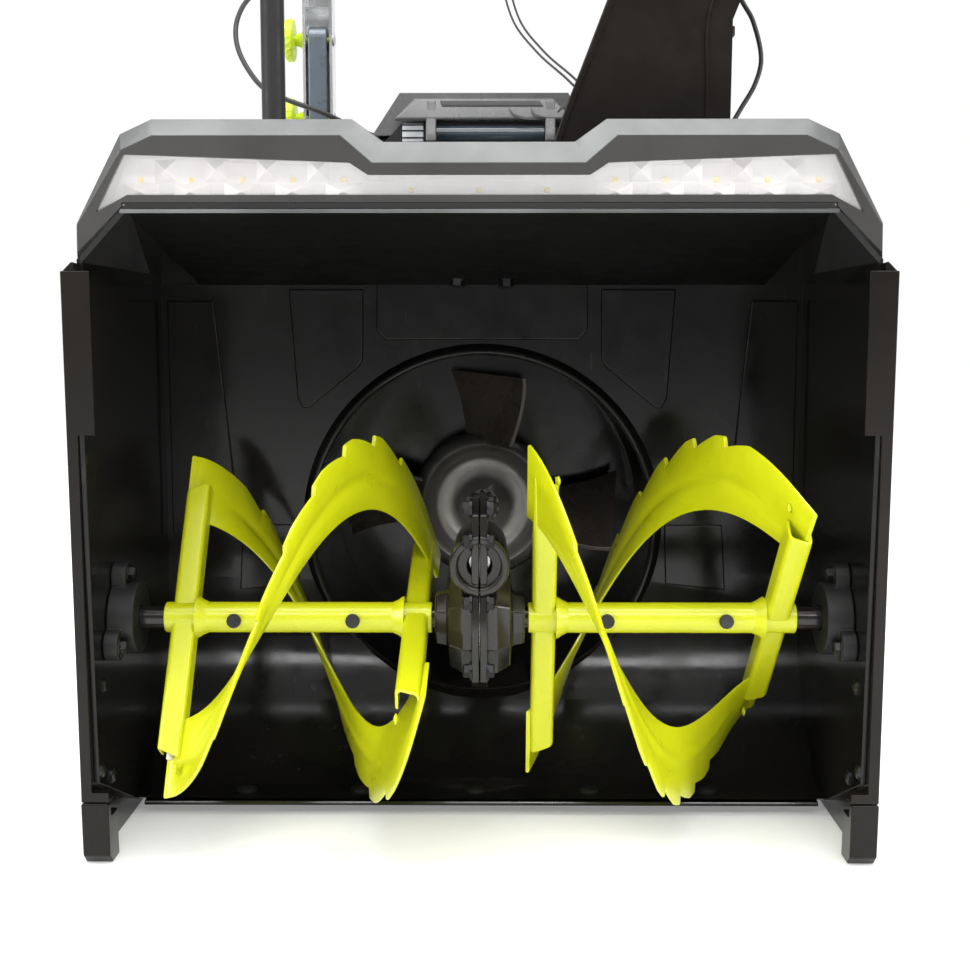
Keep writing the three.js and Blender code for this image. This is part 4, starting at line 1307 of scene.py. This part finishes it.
def hood_ring(inset, y):
    """The hood's outline pulled in by an inset; the notch pulls outwards so the bevel stays even."""
    side, notch = inset * 0.3, inset * 0.55
    outline = [
        (310 - side, 440),
        (309 - side, 509 - inset * 0.2),
        (274 - side, 576 - inset),
        (250 - side, 587 - inset),
        (97 + notch, 587 - inset),
        (73 + notch, 570 - inset * 1.25),
    ]
    return [Vector((x, y, z)) for x, z in both(outline)]


def light_opening(inset):
    """The window's outline; a negative inset makes it larger."""
    return both(
        [
            (266 - inset, 529 + inset),
            (290 - 2 * inset, 516 + inset),
            (268 - inset, 559 - inset),
            (98, 553 - inset),
            (84, 544 - inset),
        ]
    )


def below_hood():
    """The space under the ceiling and its bevelled corners, which the hood stays clear of."""
    ceiling = [
        (FAR_FRONT, 400),
        (NEAR_BACK, 400),
        (NEAR_BACK, ceiling_height(NEAR_BACK) + 4.3),
        (FAR_FRONT, ceiling_height(FAR_FRONT) + 4.3),
    ]
    corner = [(270, 400), (400, 400), (400, 440), (330, 461), (270.4, 520.4)]
    corners = [plate([(s * x, z) for x, z in corner], "y", FAR_FRONT, NEAR_BACK) for s in (-1, 1)]
    return [plate(ceiling, "x", -270.5, 270.5)] + corners


def light_hood():
    shell = loft([hood_ring(14, LIP_Y), hood_ring(0, LIP_Y + 15), hood_ring(0, HOOD_BACK)])
    inside = loft([hood_ring(16, LIP_Y + 5), hood_ring(5, LIP_Y + 17), hood_ring(5, HOOD_BACK + 4)])
    opening = plate(light_opening(0), "y", LIP_Y - 5, LIP_Y + 6)
    return subtract(subtract(shell, inside, opening), *below_hood())


hood = piece("light_hood_skin", light_hood(), HOOD_GREY, "chassis", "hood_grey", ("light_hood",), bevel=0.9)
# Faces that tip up and forward get the lighter grey: a painted highlight of the overhead light on the hood's
# own plastic.
hood.data.materials.append(PAINTED_HIGHLIGHT_GREY)
for face in hood.data.polygons:
    if face.normal.z > 0.5 and face.normal.y < -0.2 and face.center.z > 0.5:
        face.material_index = 1
print("hood faces", len(hood.data.polygons))

# %% [markdown]
# ### Lens, reflector and diodes
# The reflector is a panel with two rows of four-sided pyramids, each with a diode at its foot.
# Pyramids and diodes are one tapered block at many places, with a sharp or a blunt taper.

# %% Lens, reflector and diodes
REFLECTOR_Y = span("light_reflector")[0].y
CELL_PITCH = 39
DIODE_X = [104 + CELL_PITCH * i for i in range(5)]
MIDDLE_DIODE_X = (-52, 0, 52)


def on_reflector(x, z):
    return (x, REFLECTOR_Y, z), (0, -1, 0), (1, 0, 0)


refined("light_lens", LENS_CLEAR, "chassis", "lens_clear", bevel=0.4)
refined("light_reflector", REFLECTOR_WHITE, "chassis", "reflector_white", bevel=0.6)
panel = plate(light_opening(-5), "y", REFLECTOR_Y + 0.4, REFLECTOR_Y + 3)
piece("reflector_panel", panel, REFLECTOR_WHITE, "chassis", "reflector_white")
side_diodes = [s * x for s in (-1, 1) for x in DIODE_X]
lower_cells = [on_reflector(x, 532.5) for x in side_diodes]
upper_cells = [on_reflector(s * (x + CELL_PITCH / 2), 549) for s in (-1, 1) for x in DIODE_X[:-1]]
diodes = [on_reflector(x, 542) for x in side_diodes] + [on_reflector(x, 534.5) for x in MIDDLE_DIODE_X]
white = (REFLECTOR_WHITE, "chassis", "reflector_white")
blocks("reflector_cells", lower_cells, *white, (28, 14, 7, 0.05), crease=10)
blocks("reflector_upper_cells", upper_cells, *white, (17, 17, 5, 0.08), crease=10)
blocks("diodes", diodes, DIODE_WARM, "chassis", "reflector_white", (4.2, 4.2, 1.6, 0.85), crease=20)
print("diodes", len(diodes))

# %% [markdown]
# ## The impeller drum, the spout and the chute
# Behind the intake the impeller turns in a round drum, and a spout on the operator's left carries
# the snow up to the chute. The chute is a tall glossy hood, open at the back of its bend, that
# turns on a ring gear. Its rim is rolled, and a separate deflector at the top tips to set how far
# the snow flies. The rim and the side ribs are strips swept along the chute's edges, which follow
# its bends as a rolled edge does.

# %% Drum and chute
CHUTE_FRONT, CHUTE_REAR = -341.0, -189.0
CHUTE_X, CHUTE_Y = 135, -265
RING_BOLT_R = 93
INNER_EDGE = [(36.6, 503), (74.2, 622.7), (100, 690), (128.4, 763), (162.4, 838), (199, 893)]
OUTER_EDGE = [(234, 503), (235.2, 646), (235.2, 717), (253.4, 763), (282, 831)]
STRIP_SECTION = [(0, 0), (0.15, -0.8), (0.5, -1.0), (0.85, -0.8), (1, 0), (0.5, 0.4)]


def rim_strip(points, y, width, depth):
    """A rolled strip along an (x, z) line on a wall of the chute."""
    line = smooth_line([(x, y, z) for x, z in points], 6)
    rings = []
    for i, here in enumerate(line):
        way = way_along(line, i)
        side = Vector((-way.z, 0, way.x))
        rings.append([here + side * (width * a) + Y * (depth * b) for a, b in STRIP_SECTION])
    return loft(rings)


def chute_piece(name, shape, finish=CHUTE_BLACK, slot="housing_gloss", **more):
    return piece(name, shape, finish, "chute_body", slot, **more)


refined("impeller_drum", GLOSS_BLACK, "chassis", "housing_gloss", bevel=1.4, segments=3)
refined("chute", CHUTE_BLACK, "chute_body", "housing_gloss", bevel=1.6, segments=3)
refined("chute_deflector", CHUTE_BLACK, "deflector_body", "housing_gloss", bevel=1.4, segments=3)
refined("chute_pinion", GROUND_STEEL, "chute_gear", "steel", bevel=0.6)
refined("chute_motor", DULL_BLACK, "chassis", "shell_matte", bevel=1.2)
rims = [
    rim_strip(INNER_EDGE, CHUTE_FRONT - 0.2, -6.5, 2.2),
    rim_strip(INNER_EDGE, CHUTE_REAR + 0.2, -6.5, -2.2),
]
chute_piece("chute_inner_rim", joined(*rims))
rib_line = [(x - 21, z) for x, z in OUTER_EDGE]
side_ribs = [rim_strip(rib_line, CHUTE_FRONT, 4, 2.4), rim_strip(rib_line, CHUTE_REAR, 4, -2.4)]
chute_piece("chute_side_ribs", joined(*side_ribs))
clip = joined(box(234, 243, -296, -272, 706, 728), box(240, 246, -292, -276, 712, 722))
chute_piece("chute_clip", clip, DULL_BLACK, "shell_matte", bevel=1.5, segments=3)
ring_bolts = []
for i in range(2):
    angle = math.pi * (i + 1 / 3) + 0.3
    x, y = CHUTE_X + RING_BOLT_R * math.cos(angle), CHUTE_Y + RING_BOLT_R * math.sin(angle)
    ring_bolts.append(((x, y, 503), (0, 0, 1), (1, 0, 0)))
bolts("chute_ring_bolts", HEX_BOLT, ring_bolts, 4.5, 3.6, DARK_BOLT, "chute_body")
print("chute strips", len(rims) + len(side_ribs), "ring bolts", len(ring_bolts))

# %% [markdown]
# ## The rear body
# The body behind the chute holds two battery packs. It is one moulded box with vents for the motors
# and a dark seam under the lid. Vents repeat, so they are one tapered block at many places.

# %% Rear body
VENT_PITCH, VENT_LOW = 14, 380
SIDE_VENTS, BACK_VENTS = 9, 8
refined("body_shell", DULL_BLACK, "chassis", "shell_matte", bevel=3.0, segments=4)
for name, side in SIDES:
    refined("battery_" + name, DULL_BLACK, "chassis", "shell_matte", bevel=2.0, segments=3)
vents = []
for side in (-1, 1):
    for row in range(SIDE_VENTS):
        vents.append(((side * 121, -20, VENT_LOW + VENT_PITCH * row), (side, 0, 0), (0, 1, 0)))
for row in range(BACK_VENTS):
    vents.append(((0, 92, VENT_LOW + VENT_PITCH * row), (0, 1, 0), (1, 0, 0)))
blocks("body_vents", vents, DULL_BLACK, "chassis", "shell_matte", (120, 6, 5, 0.6))
seam = plate([(-122.2, 596), (122.2, 596), (122.2, 599), (-122.2, 599)], "y", -135.2, 93.2)
piece("body_seam", seam, STRIP_BLACK, "chassis", "shell_matte", bevel=0.8)
print("vents", len(vents))

# %% [markdown]
# ## The battery lid
# A grey lid tips up at the back. Its front has a smoked cover between two fins, a pale latch window
# and, on a leaning brow, a dark strip and some thin curved marks. The brow, the strip and the marks
# are made upright and leaned together, so they stay on one slope.

# %% Battery lid
LID_LOW, LID_HIGH = span("battery_lid")
LID_FRONT = LID_LOW.y
BROW_LEAN = 0.35
COVER = [(0, -52), (8.2, -52), (9.2, -51), (9.2, 65), (8.2, 66), (0, 66)]
FIN_WIDE = 11
MARKS = [
    ([(27, 664), (32, 657), (44, 653), (60, 651.5)], 1.1),
    ([(51, 665), (53, 658), (60, 655), (66, 654)], 1.1),
    ([(79, 660), (86, 668), (90, 672)], 1.1),
]


def lid_piece(name, shape, finish=LID_GREY, **more):
    return piece(name, shape, finish, "battery_door", "lid_grey", **more)


def leaned(part):
    """The part tipped back with the lid's sloping upper front."""
    for corner in part.verts:
        corner.co.y += (corner.co.z - LID_HIGH.z) * BROW_LEAN
    return part


def lid_brow():
    """A low raised panel that narrows as it stands out."""
    rings = []
    for out, edge in ((2.0, 0.0), (-2.5, 1.0), (-4.0, 3.0)):
        outline = both([(97 - edge, 651 + edge), (76 - edge, 676 - edge)])
        rings.append([Vector((x, LID_FRONT + out, z)) for x, z in outline])
    return leaned(loft(rings))


def lid_fin(x):
    """A three-cornered fin that stands in front of the brow."""
    back = LID_FRONT + 1
    outline = [(LID_FRONT - 17, 629), (LID_FRONT - 17, 640), (LID_FRONT - 8, 673), (back, 673), (back, 629)]
    return plate(outline, "x", x, x + FIN_WIDE)


def sweep_mark(points, width):
    """A flat curved mark that thins to its ends."""
    line = smooth_line([(x, LID_FRONT - 4.6, z) for x, z in points], 8)
    rings = []
    for i, here in enumerate(line):
        share = i / (len(line) - 1)
        way = way_along(line, i)
        side = Vector((-way.z, 0, way.x)) * (width * (0.15 + math.sin(math.pi * share)))
        rings.append([here - side, here - side - Y * 0.6, here + side - Y * 0.6, here + side])
    return loft(rings)


refined("battery_lid", LID_GREY, "battery_door", "lid_grey", bevel=3.2, segments=4)
lid_piece("lid_brow", lid_brow(), bevel=1.2, segments=3)
recess = plate(both([(108, 629.5), (88, 651)]), "y", LID_FRONT - 0.8, LID_FRONT + 1)
lid_piece("lid_recess", recess, STRIP_BLACK, bevel=0.6)
lid_piece("lid_smoked_cover", lathe(COVER, (0, LID_FRONT - 2, 638.5), X, 40), SMOKED)
lid_piece("lid_fins", joined(*[lid_fin(x) for x in (-62, 66)]), bevel=1.6, segments=3)
window = box(-88, -65, LID_FRONT - 6, LID_FRONT + 1, 629.5, 649)
lid_piece("lid_window", window, WINDOW_GREY, bevel=1.2, segments=3)
bars = [box(-88.6, -64.4, LID_FRONT - 7, LID_FRONT, z, z + 1.6) for z in (633, 640.5, 646.5)]
lid_piece("lid_window_bars", joined(*bars), STRIP_BLACK, bevel=0.4)
strip_outline = [(-45, 666.5), (64, 666.5), (60, 672.5), (-47, 672.5)]
strip = plate(strip_outline, "y", LID_FRONT - 5.2, LID_FRONT - 3)
lid_piece("lid_strip", leaned(strip), STRIP_BLACK, bevel=0.6)
lid_piece("lid_marks", leaned(joined(*[sweep_mark(*mark) for mark in MARKS])), STRIP_BLACK)
lid_ribs = [((0, -100 + 34 * i, LID_HIGH.z), (0, 0, 1), (1, 0, 0)) for i in range(5)]
blocks("lid_ribs", lid_ribs, LID_GREY, "battery_door", "lid_grey", (150, 8, 4, 0.75))
print("lid from", [round(v) for v in LID_LOW], "to", [round(v) for v in LID_HIGH])

# %% [markdown]
# ## Chassis and motors
# A folded steel tray carries the motors and the drive. Bolts along its walls hold the folded seams
# together.

# %% Chassis
FRAME_BOLT_Z = (135, 305)
refined("base_frame", BLACK_COAT, "chassis", "black_paint", bevel=1.4, segments=3)
refined("auger_motor", DARK_CAST, "chassis", "cast", bevel=2.4, segments=3)
refined("transaxle", DARK_CAST, "chassis", "cast", bevel=2.4, segments=3)
frame_bolts = []
for side in (-1, 1):
    for y in (-120, -60, 110, 150):
        frame_bolts += [((side * 140, y, z), (side, 0, 0), (0, 1, 0)) for z in FRAME_BOLT_Z]
for x in (-110, -40, 40, 110):
    frame_bolts += [((x, 170, z), (0, 1, 0), (1, 0, 0)) for z in FRAME_BOLT_Z]
bolts("frame_bolts", HEX_BOLT, frame_bolts, 6.0, 5.0)
print("frame bolts", len(frame_bolts))

# %% [markdown]
# ## The wheels
# The tyres are the machine's largest rubber pieces: a lathe gives the carcass, and two rings of
# chevron lugs are grown on it from one tapered block, with a smaller lug at each shoulder. A lug is
# leaned by the direction that its place is given, so one block serves both rows.

# %% Wheels
WHEEL_LOW, WHEEL_HIGH = span("tyre_left")
AXLE = (WHEEL_LOW + WHEEL_HIGH) / 2
WHEEL_R = (WHEEL_HIGH.z - WHEEL_LOW.z) / 2
WHEEL_HALF = (WHEEL_HIGH.x - WHEEL_LOW.x) / 2
LUG_COUNT = 18
WHEEL_BOLTS, WHEEL_BOLT_R = 5, 42


def tyre_carcass(side):
    """The outer wall and tread mirrored about the middle, and the inside that grips the rim."""
    h = WHEEL_HALF
    wall = [
        (96.5, -h + 7),
        (102, -h + 3.5),
        (112, -h + 3),
        (113.5, -h + 4.5),
        (116, -h + 3),
        (130, -h + 0.8),
        (150, -h + 0.6),
        (168, -h + 3),
        (176, -h + 8),
        (180.5, -h + 16),
        (181.5, -h + 28),
    ]
    tread = [(182, -6), (182, 6)]
    inside = [(96.5, h - 9.5), (85, h - 14.5), (85, -h + 14.5), (96.5, -h + 9.5)]
    profile = wall + tread + [(r, -along) for r, along in reversed(wall)] + inside
    return lathe(profile, (side * AXLE.x, AXLE.y, AXLE.z), X, 96, ring=True)


def lug_places(side):
    """Places of the tread's lugs and of the shoulders' lugs, in two rows half a pitch apart."""
    tread, shoulders = [], []
    for i in range(LUG_COUNT):
        for row, turn in ((-1, 0.0), (1, 0.5)):
            angle = 2 * math.pi * (i + turn) / LUG_COUNT
            out = Vector((0, math.cos(angle), math.sin(angle)))
            back = X.cross(out)
            spot = Vector((side * (AXLE.x + row * 24), AXLE.y, AXLE.z)) + out * 181
            tread.append((spot, out, X * row + back * 0.75))
            edge = Vector((side * (AXLE.x + row * (WHEEL_HALF - 5.5)), AXLE.y, AXLE.z))
            shoulders.append((edge + back * 14 + out * 163, X * row * side, back))
    return tread, shoulders


def wheel_bolt_places(side):
    places = []
    for i in range(WHEEL_BOLTS):
        angle = 2 * math.pi * i / WHEEL_BOLTS
        y = AXLE.y + WHEEL_BOLT_R * math.cos(angle)
        z = AXLE.z + WHEEL_BOLT_R * math.sin(angle)
        places.append(((side * (AXLE.x + 2), y, z), (side, 0, 0), (0, 1, 0)))
    return places


for name, side in SIDES:
    body = "wheel_" + name
    refined("half_shaft_" + name, GROUND_STEEL, body, "steel", bevel=1.0)
    refined("rim_" + name, SLATE_COAT, body, "slate_paint", bevel=1.6, segments=3)
    piece("tyre_carcass_" + name, tyre_carcass(side), TYRE_RUBBER, body, "tyre", ("tyre_" + name,))
    tread, shoulders = lug_places(side)
    rubber = (TYRE_RUBBER, body, "tyre")
    blocks("tyre_lugs_" + name, tread, *rubber, (52, 16, 7.8, 0.72), crease=30)
    blocks("tyre_shoulder_lugs_" + name, shoulders, *rubber, (13, 26, 4, 0.7), crease=30)
    bolts("wheel_bolts_" + name, HEX_BOLT, wheel_bolt_places(side), 8.0, 7.0, GROUND_STEEL, body)
print("wheels of radius", round(WHEEL_R))

# %% [markdown]
# ## The handle
# Slate-grey bars stand on the chassis. Bright aluminium channels straddle them and are clamped by
# four lime knobs: the upper pair are the pivots and the lower pair lock the handle up. A knob is a
# turned piece, so its disc, bolt head and shank are lathed, and the ribs on its rim are grown.

# %% Handle bars and knobs
PIVOT_Y, PIVOT_Z, LOCK_Z = -76, 752, 665
KNOB_X, KNOB_RIBS = 187, 20
KNOB_DISC = [
    (0.02, 16.8),
    (4.0, 16.8),
    (9, 16.8),
    (9.4, 17.6),
    (7.4, 21),
    (6.2, 24),
    (6.2, 26),
    (12, 27),
    (21.4, 27.2),
    (23, 28.8),
    (23, 35.2),
    (21.6, 36.8),
    (17, 37),
    (15.5, 35.4),
    (9, 34.8),
    (8, 36.2),
    (0, 36.4),
]
KNOB_BOLT = [(0, -19.4), (3, -19.3), (5.6, -18.6), (7, -17.2), (7, -16.7), (0, -16.7)]
KNOB_SHANK = [(0, -17), (4, -17), (4, 20), (0, 20)]


def knob(side, z):
    """A dished disc on a stem with a flared collar, with its bolt through the bars."""
    middle = (KNOB_X, PIVOT_Y, z)
    disc = lathe(KNOB_DISC, middle, X, 48)
    bolt = lathe(KNOB_BOLT, middle, X, 32)
    shank = lathe(KNOB_SHANK, middle, X, 24)
    return mirrored(joined(disc, bolt, shank), side)


def knob_rib_places(side, z):
    """Ribs for cold fingers, round the disc's rim."""
    places = []
    for i in range(KNOB_RIBS):
        angle = 2 * math.pi * i / KNOB_RIBS
        out = Vector((0, math.cos(angle), math.sin(angle)))
        places.append((Vector((side * 219, PIVOT_Y, z)) + out * 22.6, out, (1, 0, 0)))
    return places


def make_knob(label, side, z):
    """The knob with steel on everything inside its disc, and its ribs."""
    body = label + "_body"
    made = piece(label + "_disc", knob(side, z), LIME_PLASTIC, body, "lime_plastic", (label,))
    made.data.materials.append(GROUND_STEEL)
    for face in made.data.polygons:
        if abs(face.center.x) < 0.1845:
            face.material_index = 1
    places = knob_rib_places(side, z)
    blocks(label + "_ribs", places, LIME_PLASTIC, body, "lime_plastic", (7, 4.2, 0.9, 0.6))


for name, side in SIDES:
    refined("lower_handle_" + name, SLATE_COAT, "chassis", "slate_paint", bevel=2.2, segments=4)
refined("upper_handle", BRIGHT_ALLOY, "handle", "aluminium", bevel=1.2, segments=3)
for name, side in SIDES:
    make_knob("pivot_knob_" + name, side, PIVOT_Z)
    make_knob("lock_knob_" + name, side, LOCK_Z)
print("knobs at heights", PIVOT_Z, LOCK_Z)

# %% [markdown]
# ## Grips, levers and the console
# Tubes run back to rubber grips with a lime lever over each, and a console between them carries the
# speed lever, the chute's stick and the lamp button. A grip is lathed in one go: its profile
# repeats a rib for most of its length and then thins, to leave room for the pressed lever.

# %% Grips, levers and the console
GRIP_X, GRIP_Z = 215, 1010
GRIP_RIBS, RIB_PITCH = 18, 5
HANDLE_END = span("upper_handle")[1].y
LEVER_BODIES = {"left": "auger_control", "right": "drive_control"}


def grip_profile():
    profile = [(13.2, 0)]
    for i in range(GRIP_RIBS):
        start = RIB_PITCH * i
        profile += [(15.6, start + 2), (16.2, start + 3), (16.2, start + 5.2), (15.4, start + 6.2)]
    return profile + [(14.6, 97), (13.8, 101), (13.8, 121.6), (13.2, 122.9)]


for name, side in SIDES:
    grip = lathe(grip_profile(), (side * GRIP_X, HANDLE_END - 123.2, GRIP_Z), Y, 40, ring=True)
    piece("grip_" + name, grip, GRIP_RUBBER, "handle", "tyre")
    refined("bail_lever_" + name, LIME_PLASTIC, LEVER_BODIES[name], "lime_plastic", bevel=1.8, segments=3)
refined("control_panel", DULL_BLACK, "handle", "shell_matte", bevel=4.0, segments=4)
refined("speed_lever", LIME_PLASTIC, "speed_control", "lime_plastic", bevel=1.2, segments=3)
refined("chute_joystick", DULL_BLACK, "chute_control", "shell_matte", bevel=1.2, segments=3)
refined("light_button", LIME_PLASTIC, "light_switch", "lime_plastic", bevel=1.2, segments=3)
panel_screws = [((x, 610, z), (0, 1, 0), (1, 0, 0)) for x in (-165, 165) for z in (1030, 1052)]
bolts("panel_screws", DOME_BOLT, panel_screws, 4.0, 2.0, DARK_BOLT, "handle")
print("grip ribs", GRIP_RIBS)

# %% [markdown]
# ## The clean-out tool and the cables
# A black rod with a paddle is clipped behind the intake's right corner, for clearing the chute. The
# cables are round tubes along smooth lines. The main harness and the pair to the console bend as
# the handle folds, so each is left in its place in the room rather than given to one body, as is
# the deflector's lead between the chute and the deflector.

# %% Tool and cables
HARNESS = [
    (-150, 428, 1040),
    (-205, 330, 960),
    (-246, 160, 880),
    (-270, 0, 822),
    (-279, -70, 778),
    (-274, -98, 738),
    (-250, -112, 699),
    (-222, -116, 682),
    (-180, -116, 667),
    (-145, -100, 652),
    (-122, -88, 644),
]
DEFLECTOR_LEAD = [
    (272, -179, 892),
    (269, -179, 835),
    (267, -179, 783),
    (283, -181, 750),
    (292, -183, 713),
    (286, -185, 685),
    (271, -188, 659),
    (255, -196, 632),
    (246, -212, 612),
    (244, -222, 600),
]
LEAD_GAP = 9
CONSOLE_BOOT = [(2, 34), (3.4, 33.6), (4.4, 22), (6, 12), (6, 0), (2, 0)]
DEFLECTOR_BOOT = [(2.4, 24), (3.6, 23.6), (4.6, 14), (6, 8), (6, 0), (2.4, 0)]


def console_lead(offset):
    """One of the pair to the console; an offset lead draws in towards the other at their boot."""
    return [
        (16 + offset, 428, 1040),
        (20 + offset, 330, 930),
        (34 + offset, 180, 832),
        (62 + offset, 30, 760),
        (96 + offset, -80, 706),
        (124 + offset / 2, -110, 668),
        (130 + offset / 4, -100, 622),
        (128, -90, 590),
    ]


refined("tool_clip", DULL_BLACK, "chassis", "shell_matte", bevel=2.0, segments=3)
refined("clean_out_tool", DULL_BLACK, "tool", "shell_matte", bevel=1.4, segments=3)
piece(
    "harness_tube",
    hose(HARNESS, 2.8, 16, 12),
    SHEATH_BLACK,
    "chassis",
    "cable_black",
    ("harness_cable",),
    cross=("chassis", "handle", (-0.25, -0.112, 0.72), (-0.23, 0.25, 0.93)),
)
piece(
    "console_leads",
    joined(*[hose(console_lead(offset), 1.4, 12, 10) for offset in (0, LEAD_GAP)]),
    SHEATH_BLACK,
    "chassis",
    "cable_pale",
    ("chute_cable",),
    cross=("chassis", "handle", (0.12, -0.09, 0.68), (0.03, 0.25, 0.9)),
)
console_boot = lathe(CONSOLE_BOOT, (128, -90, 566), Z, 28, ring=True)
piece("console_lead_boot", console_boot, SHEATH_BLACK, "chassis", "cable_pale")
piece(
    "deflector_lead",
    hose(DEFLECTOR_LEAD, 2.5, 16, 12),
    SHEATH_BLACK,
    "chute_body",
    "cable_black",
    ("deflector_cable",),
    cross=("chute_body", "deflector_body", (0.27, -0.179, 0.79), (0.272, -0.179, 0.885)),
)
deflector_boot = lathe(DEFLECTOR_BOOT, (244, -222, 580), Z, 28, ring=True)
piece("deflector_lead_boot", deflector_boot, SHEATH_BLACK, "chute_body", "cable_black")
print("pieces made", len(MADE))

# %% [markdown]
# ## The room
# A wide pale floor and a white world make the room. The world is a little darker low down in front
# of the machine, so its gloss has something to shade into.

# %% Floor and world
FLOOR_GLOW = 0.22
SKY_LIFT = 1.1
SKY_DARKEST = 0.38

FLOOR_PALE, tree, shader, here = new_finish("floor_pale")
tree.links.new(
    blended(tree, cloud(tree, here, 1.5), [(0.3, (0.86, 0.86, 0.86)), (0.7, (0.9, 0.9, 0.9))]),
    shader.inputs["Base Color"],
)
shader.inputs["Roughness"].default_value = 0.9
shader.inputs["Emission Color"].default_value = (1, 1, 1, 1)
shader.inputs["Emission Strength"].default_value = FLOOR_GLOW
ground = bmesh.new()
bmesh.ops.create_grid(ground, x_segments=8, y_segments=8, size=12)
floor_mesh = bpy.data.meshes.new("floor")
ground.to_mesh(floor_mesh)
ground.free()
floor_mesh.materials.append(FLOOR_PALE)
floor = bpy.data.objects.new("floor", floor_mesh)
bpy.context.scene.collection.objects.link(floor)

world = bpy.data.worlds.new("white_room")
world.use_nodes = True
sky = world.node_tree
split = sky.nodes.new("ShaderNodeSeparateXYZ")
sky.links.new(sky.nodes.new("ShaderNodeTexCoord").outputs["Generated"], split.inputs[0])
tilt = sky.nodes.new("ShaderNodeMath")
tilt.operation = "MULTIPLY_ADD"
sky.links.new(split.outputs["Z"], tilt.inputs[0])
tilt.inputs[1].default_value = SKY_LIFT
sky.links.new(split.outputs["Y"], tilt.inputs[2])
backdrop = sky.nodes["Background"]
brightness = ranged(sky, tilt.outputs[0], SKY_DARKEST, 1.0, -0.5, 0.1)
sky.links.new(brightness, backdrop.inputs["Strength"])
backdrop.inputs["Color"].default_value = (1, 1, 1, 1)
bpy.context.scene.world = world
print("floor of", len(floor_mesh.polygons), "squares")

# %% [markdown]
# ## The lights
# One broad softbox hangs over the machine, two more stand at its sides, and a low wide one fills
# the intake from the front. Broad lights give gloss black its long soft bands; a small lamp would
# leave hard white spots.

# %% Softboxes


def softbox(name, place, aim, size, power):
    """A rectangular light of (width, height) in metres, aimed at a point."""
    lamp = bpy.data.lights.new(name, "AREA")
    lamp.shape = "RECTANGLE"
    lamp.size, lamp.size_y = size
    lamp.energy = power
    holder = bpy.data.objects.new(name, lamp)
    holder.location = place
    holder.rotation_euler = (Vector(aim) - Vector(place)).to_track_quat("-Z", "Y").to_euler()
    bpy.context.scene.collection.objects.link(holder)


softbox("overhead_box", (0, -0.9, 2.6), (0, -0.4, 0.4), (2.4, 1.6), 60)
softbox("front_box", (0.2, -3.4, 2.4), (0, -0.5, 0.2), (2.6, 0.4), 42)
for name, side in SIDES:
    softbox(name + "_box", (side * 2.2, -1.4, 1.3), (0, -0.5, 0.4), (0.7, 1.8), 30)
print("lights", len(bpy.data.lights))
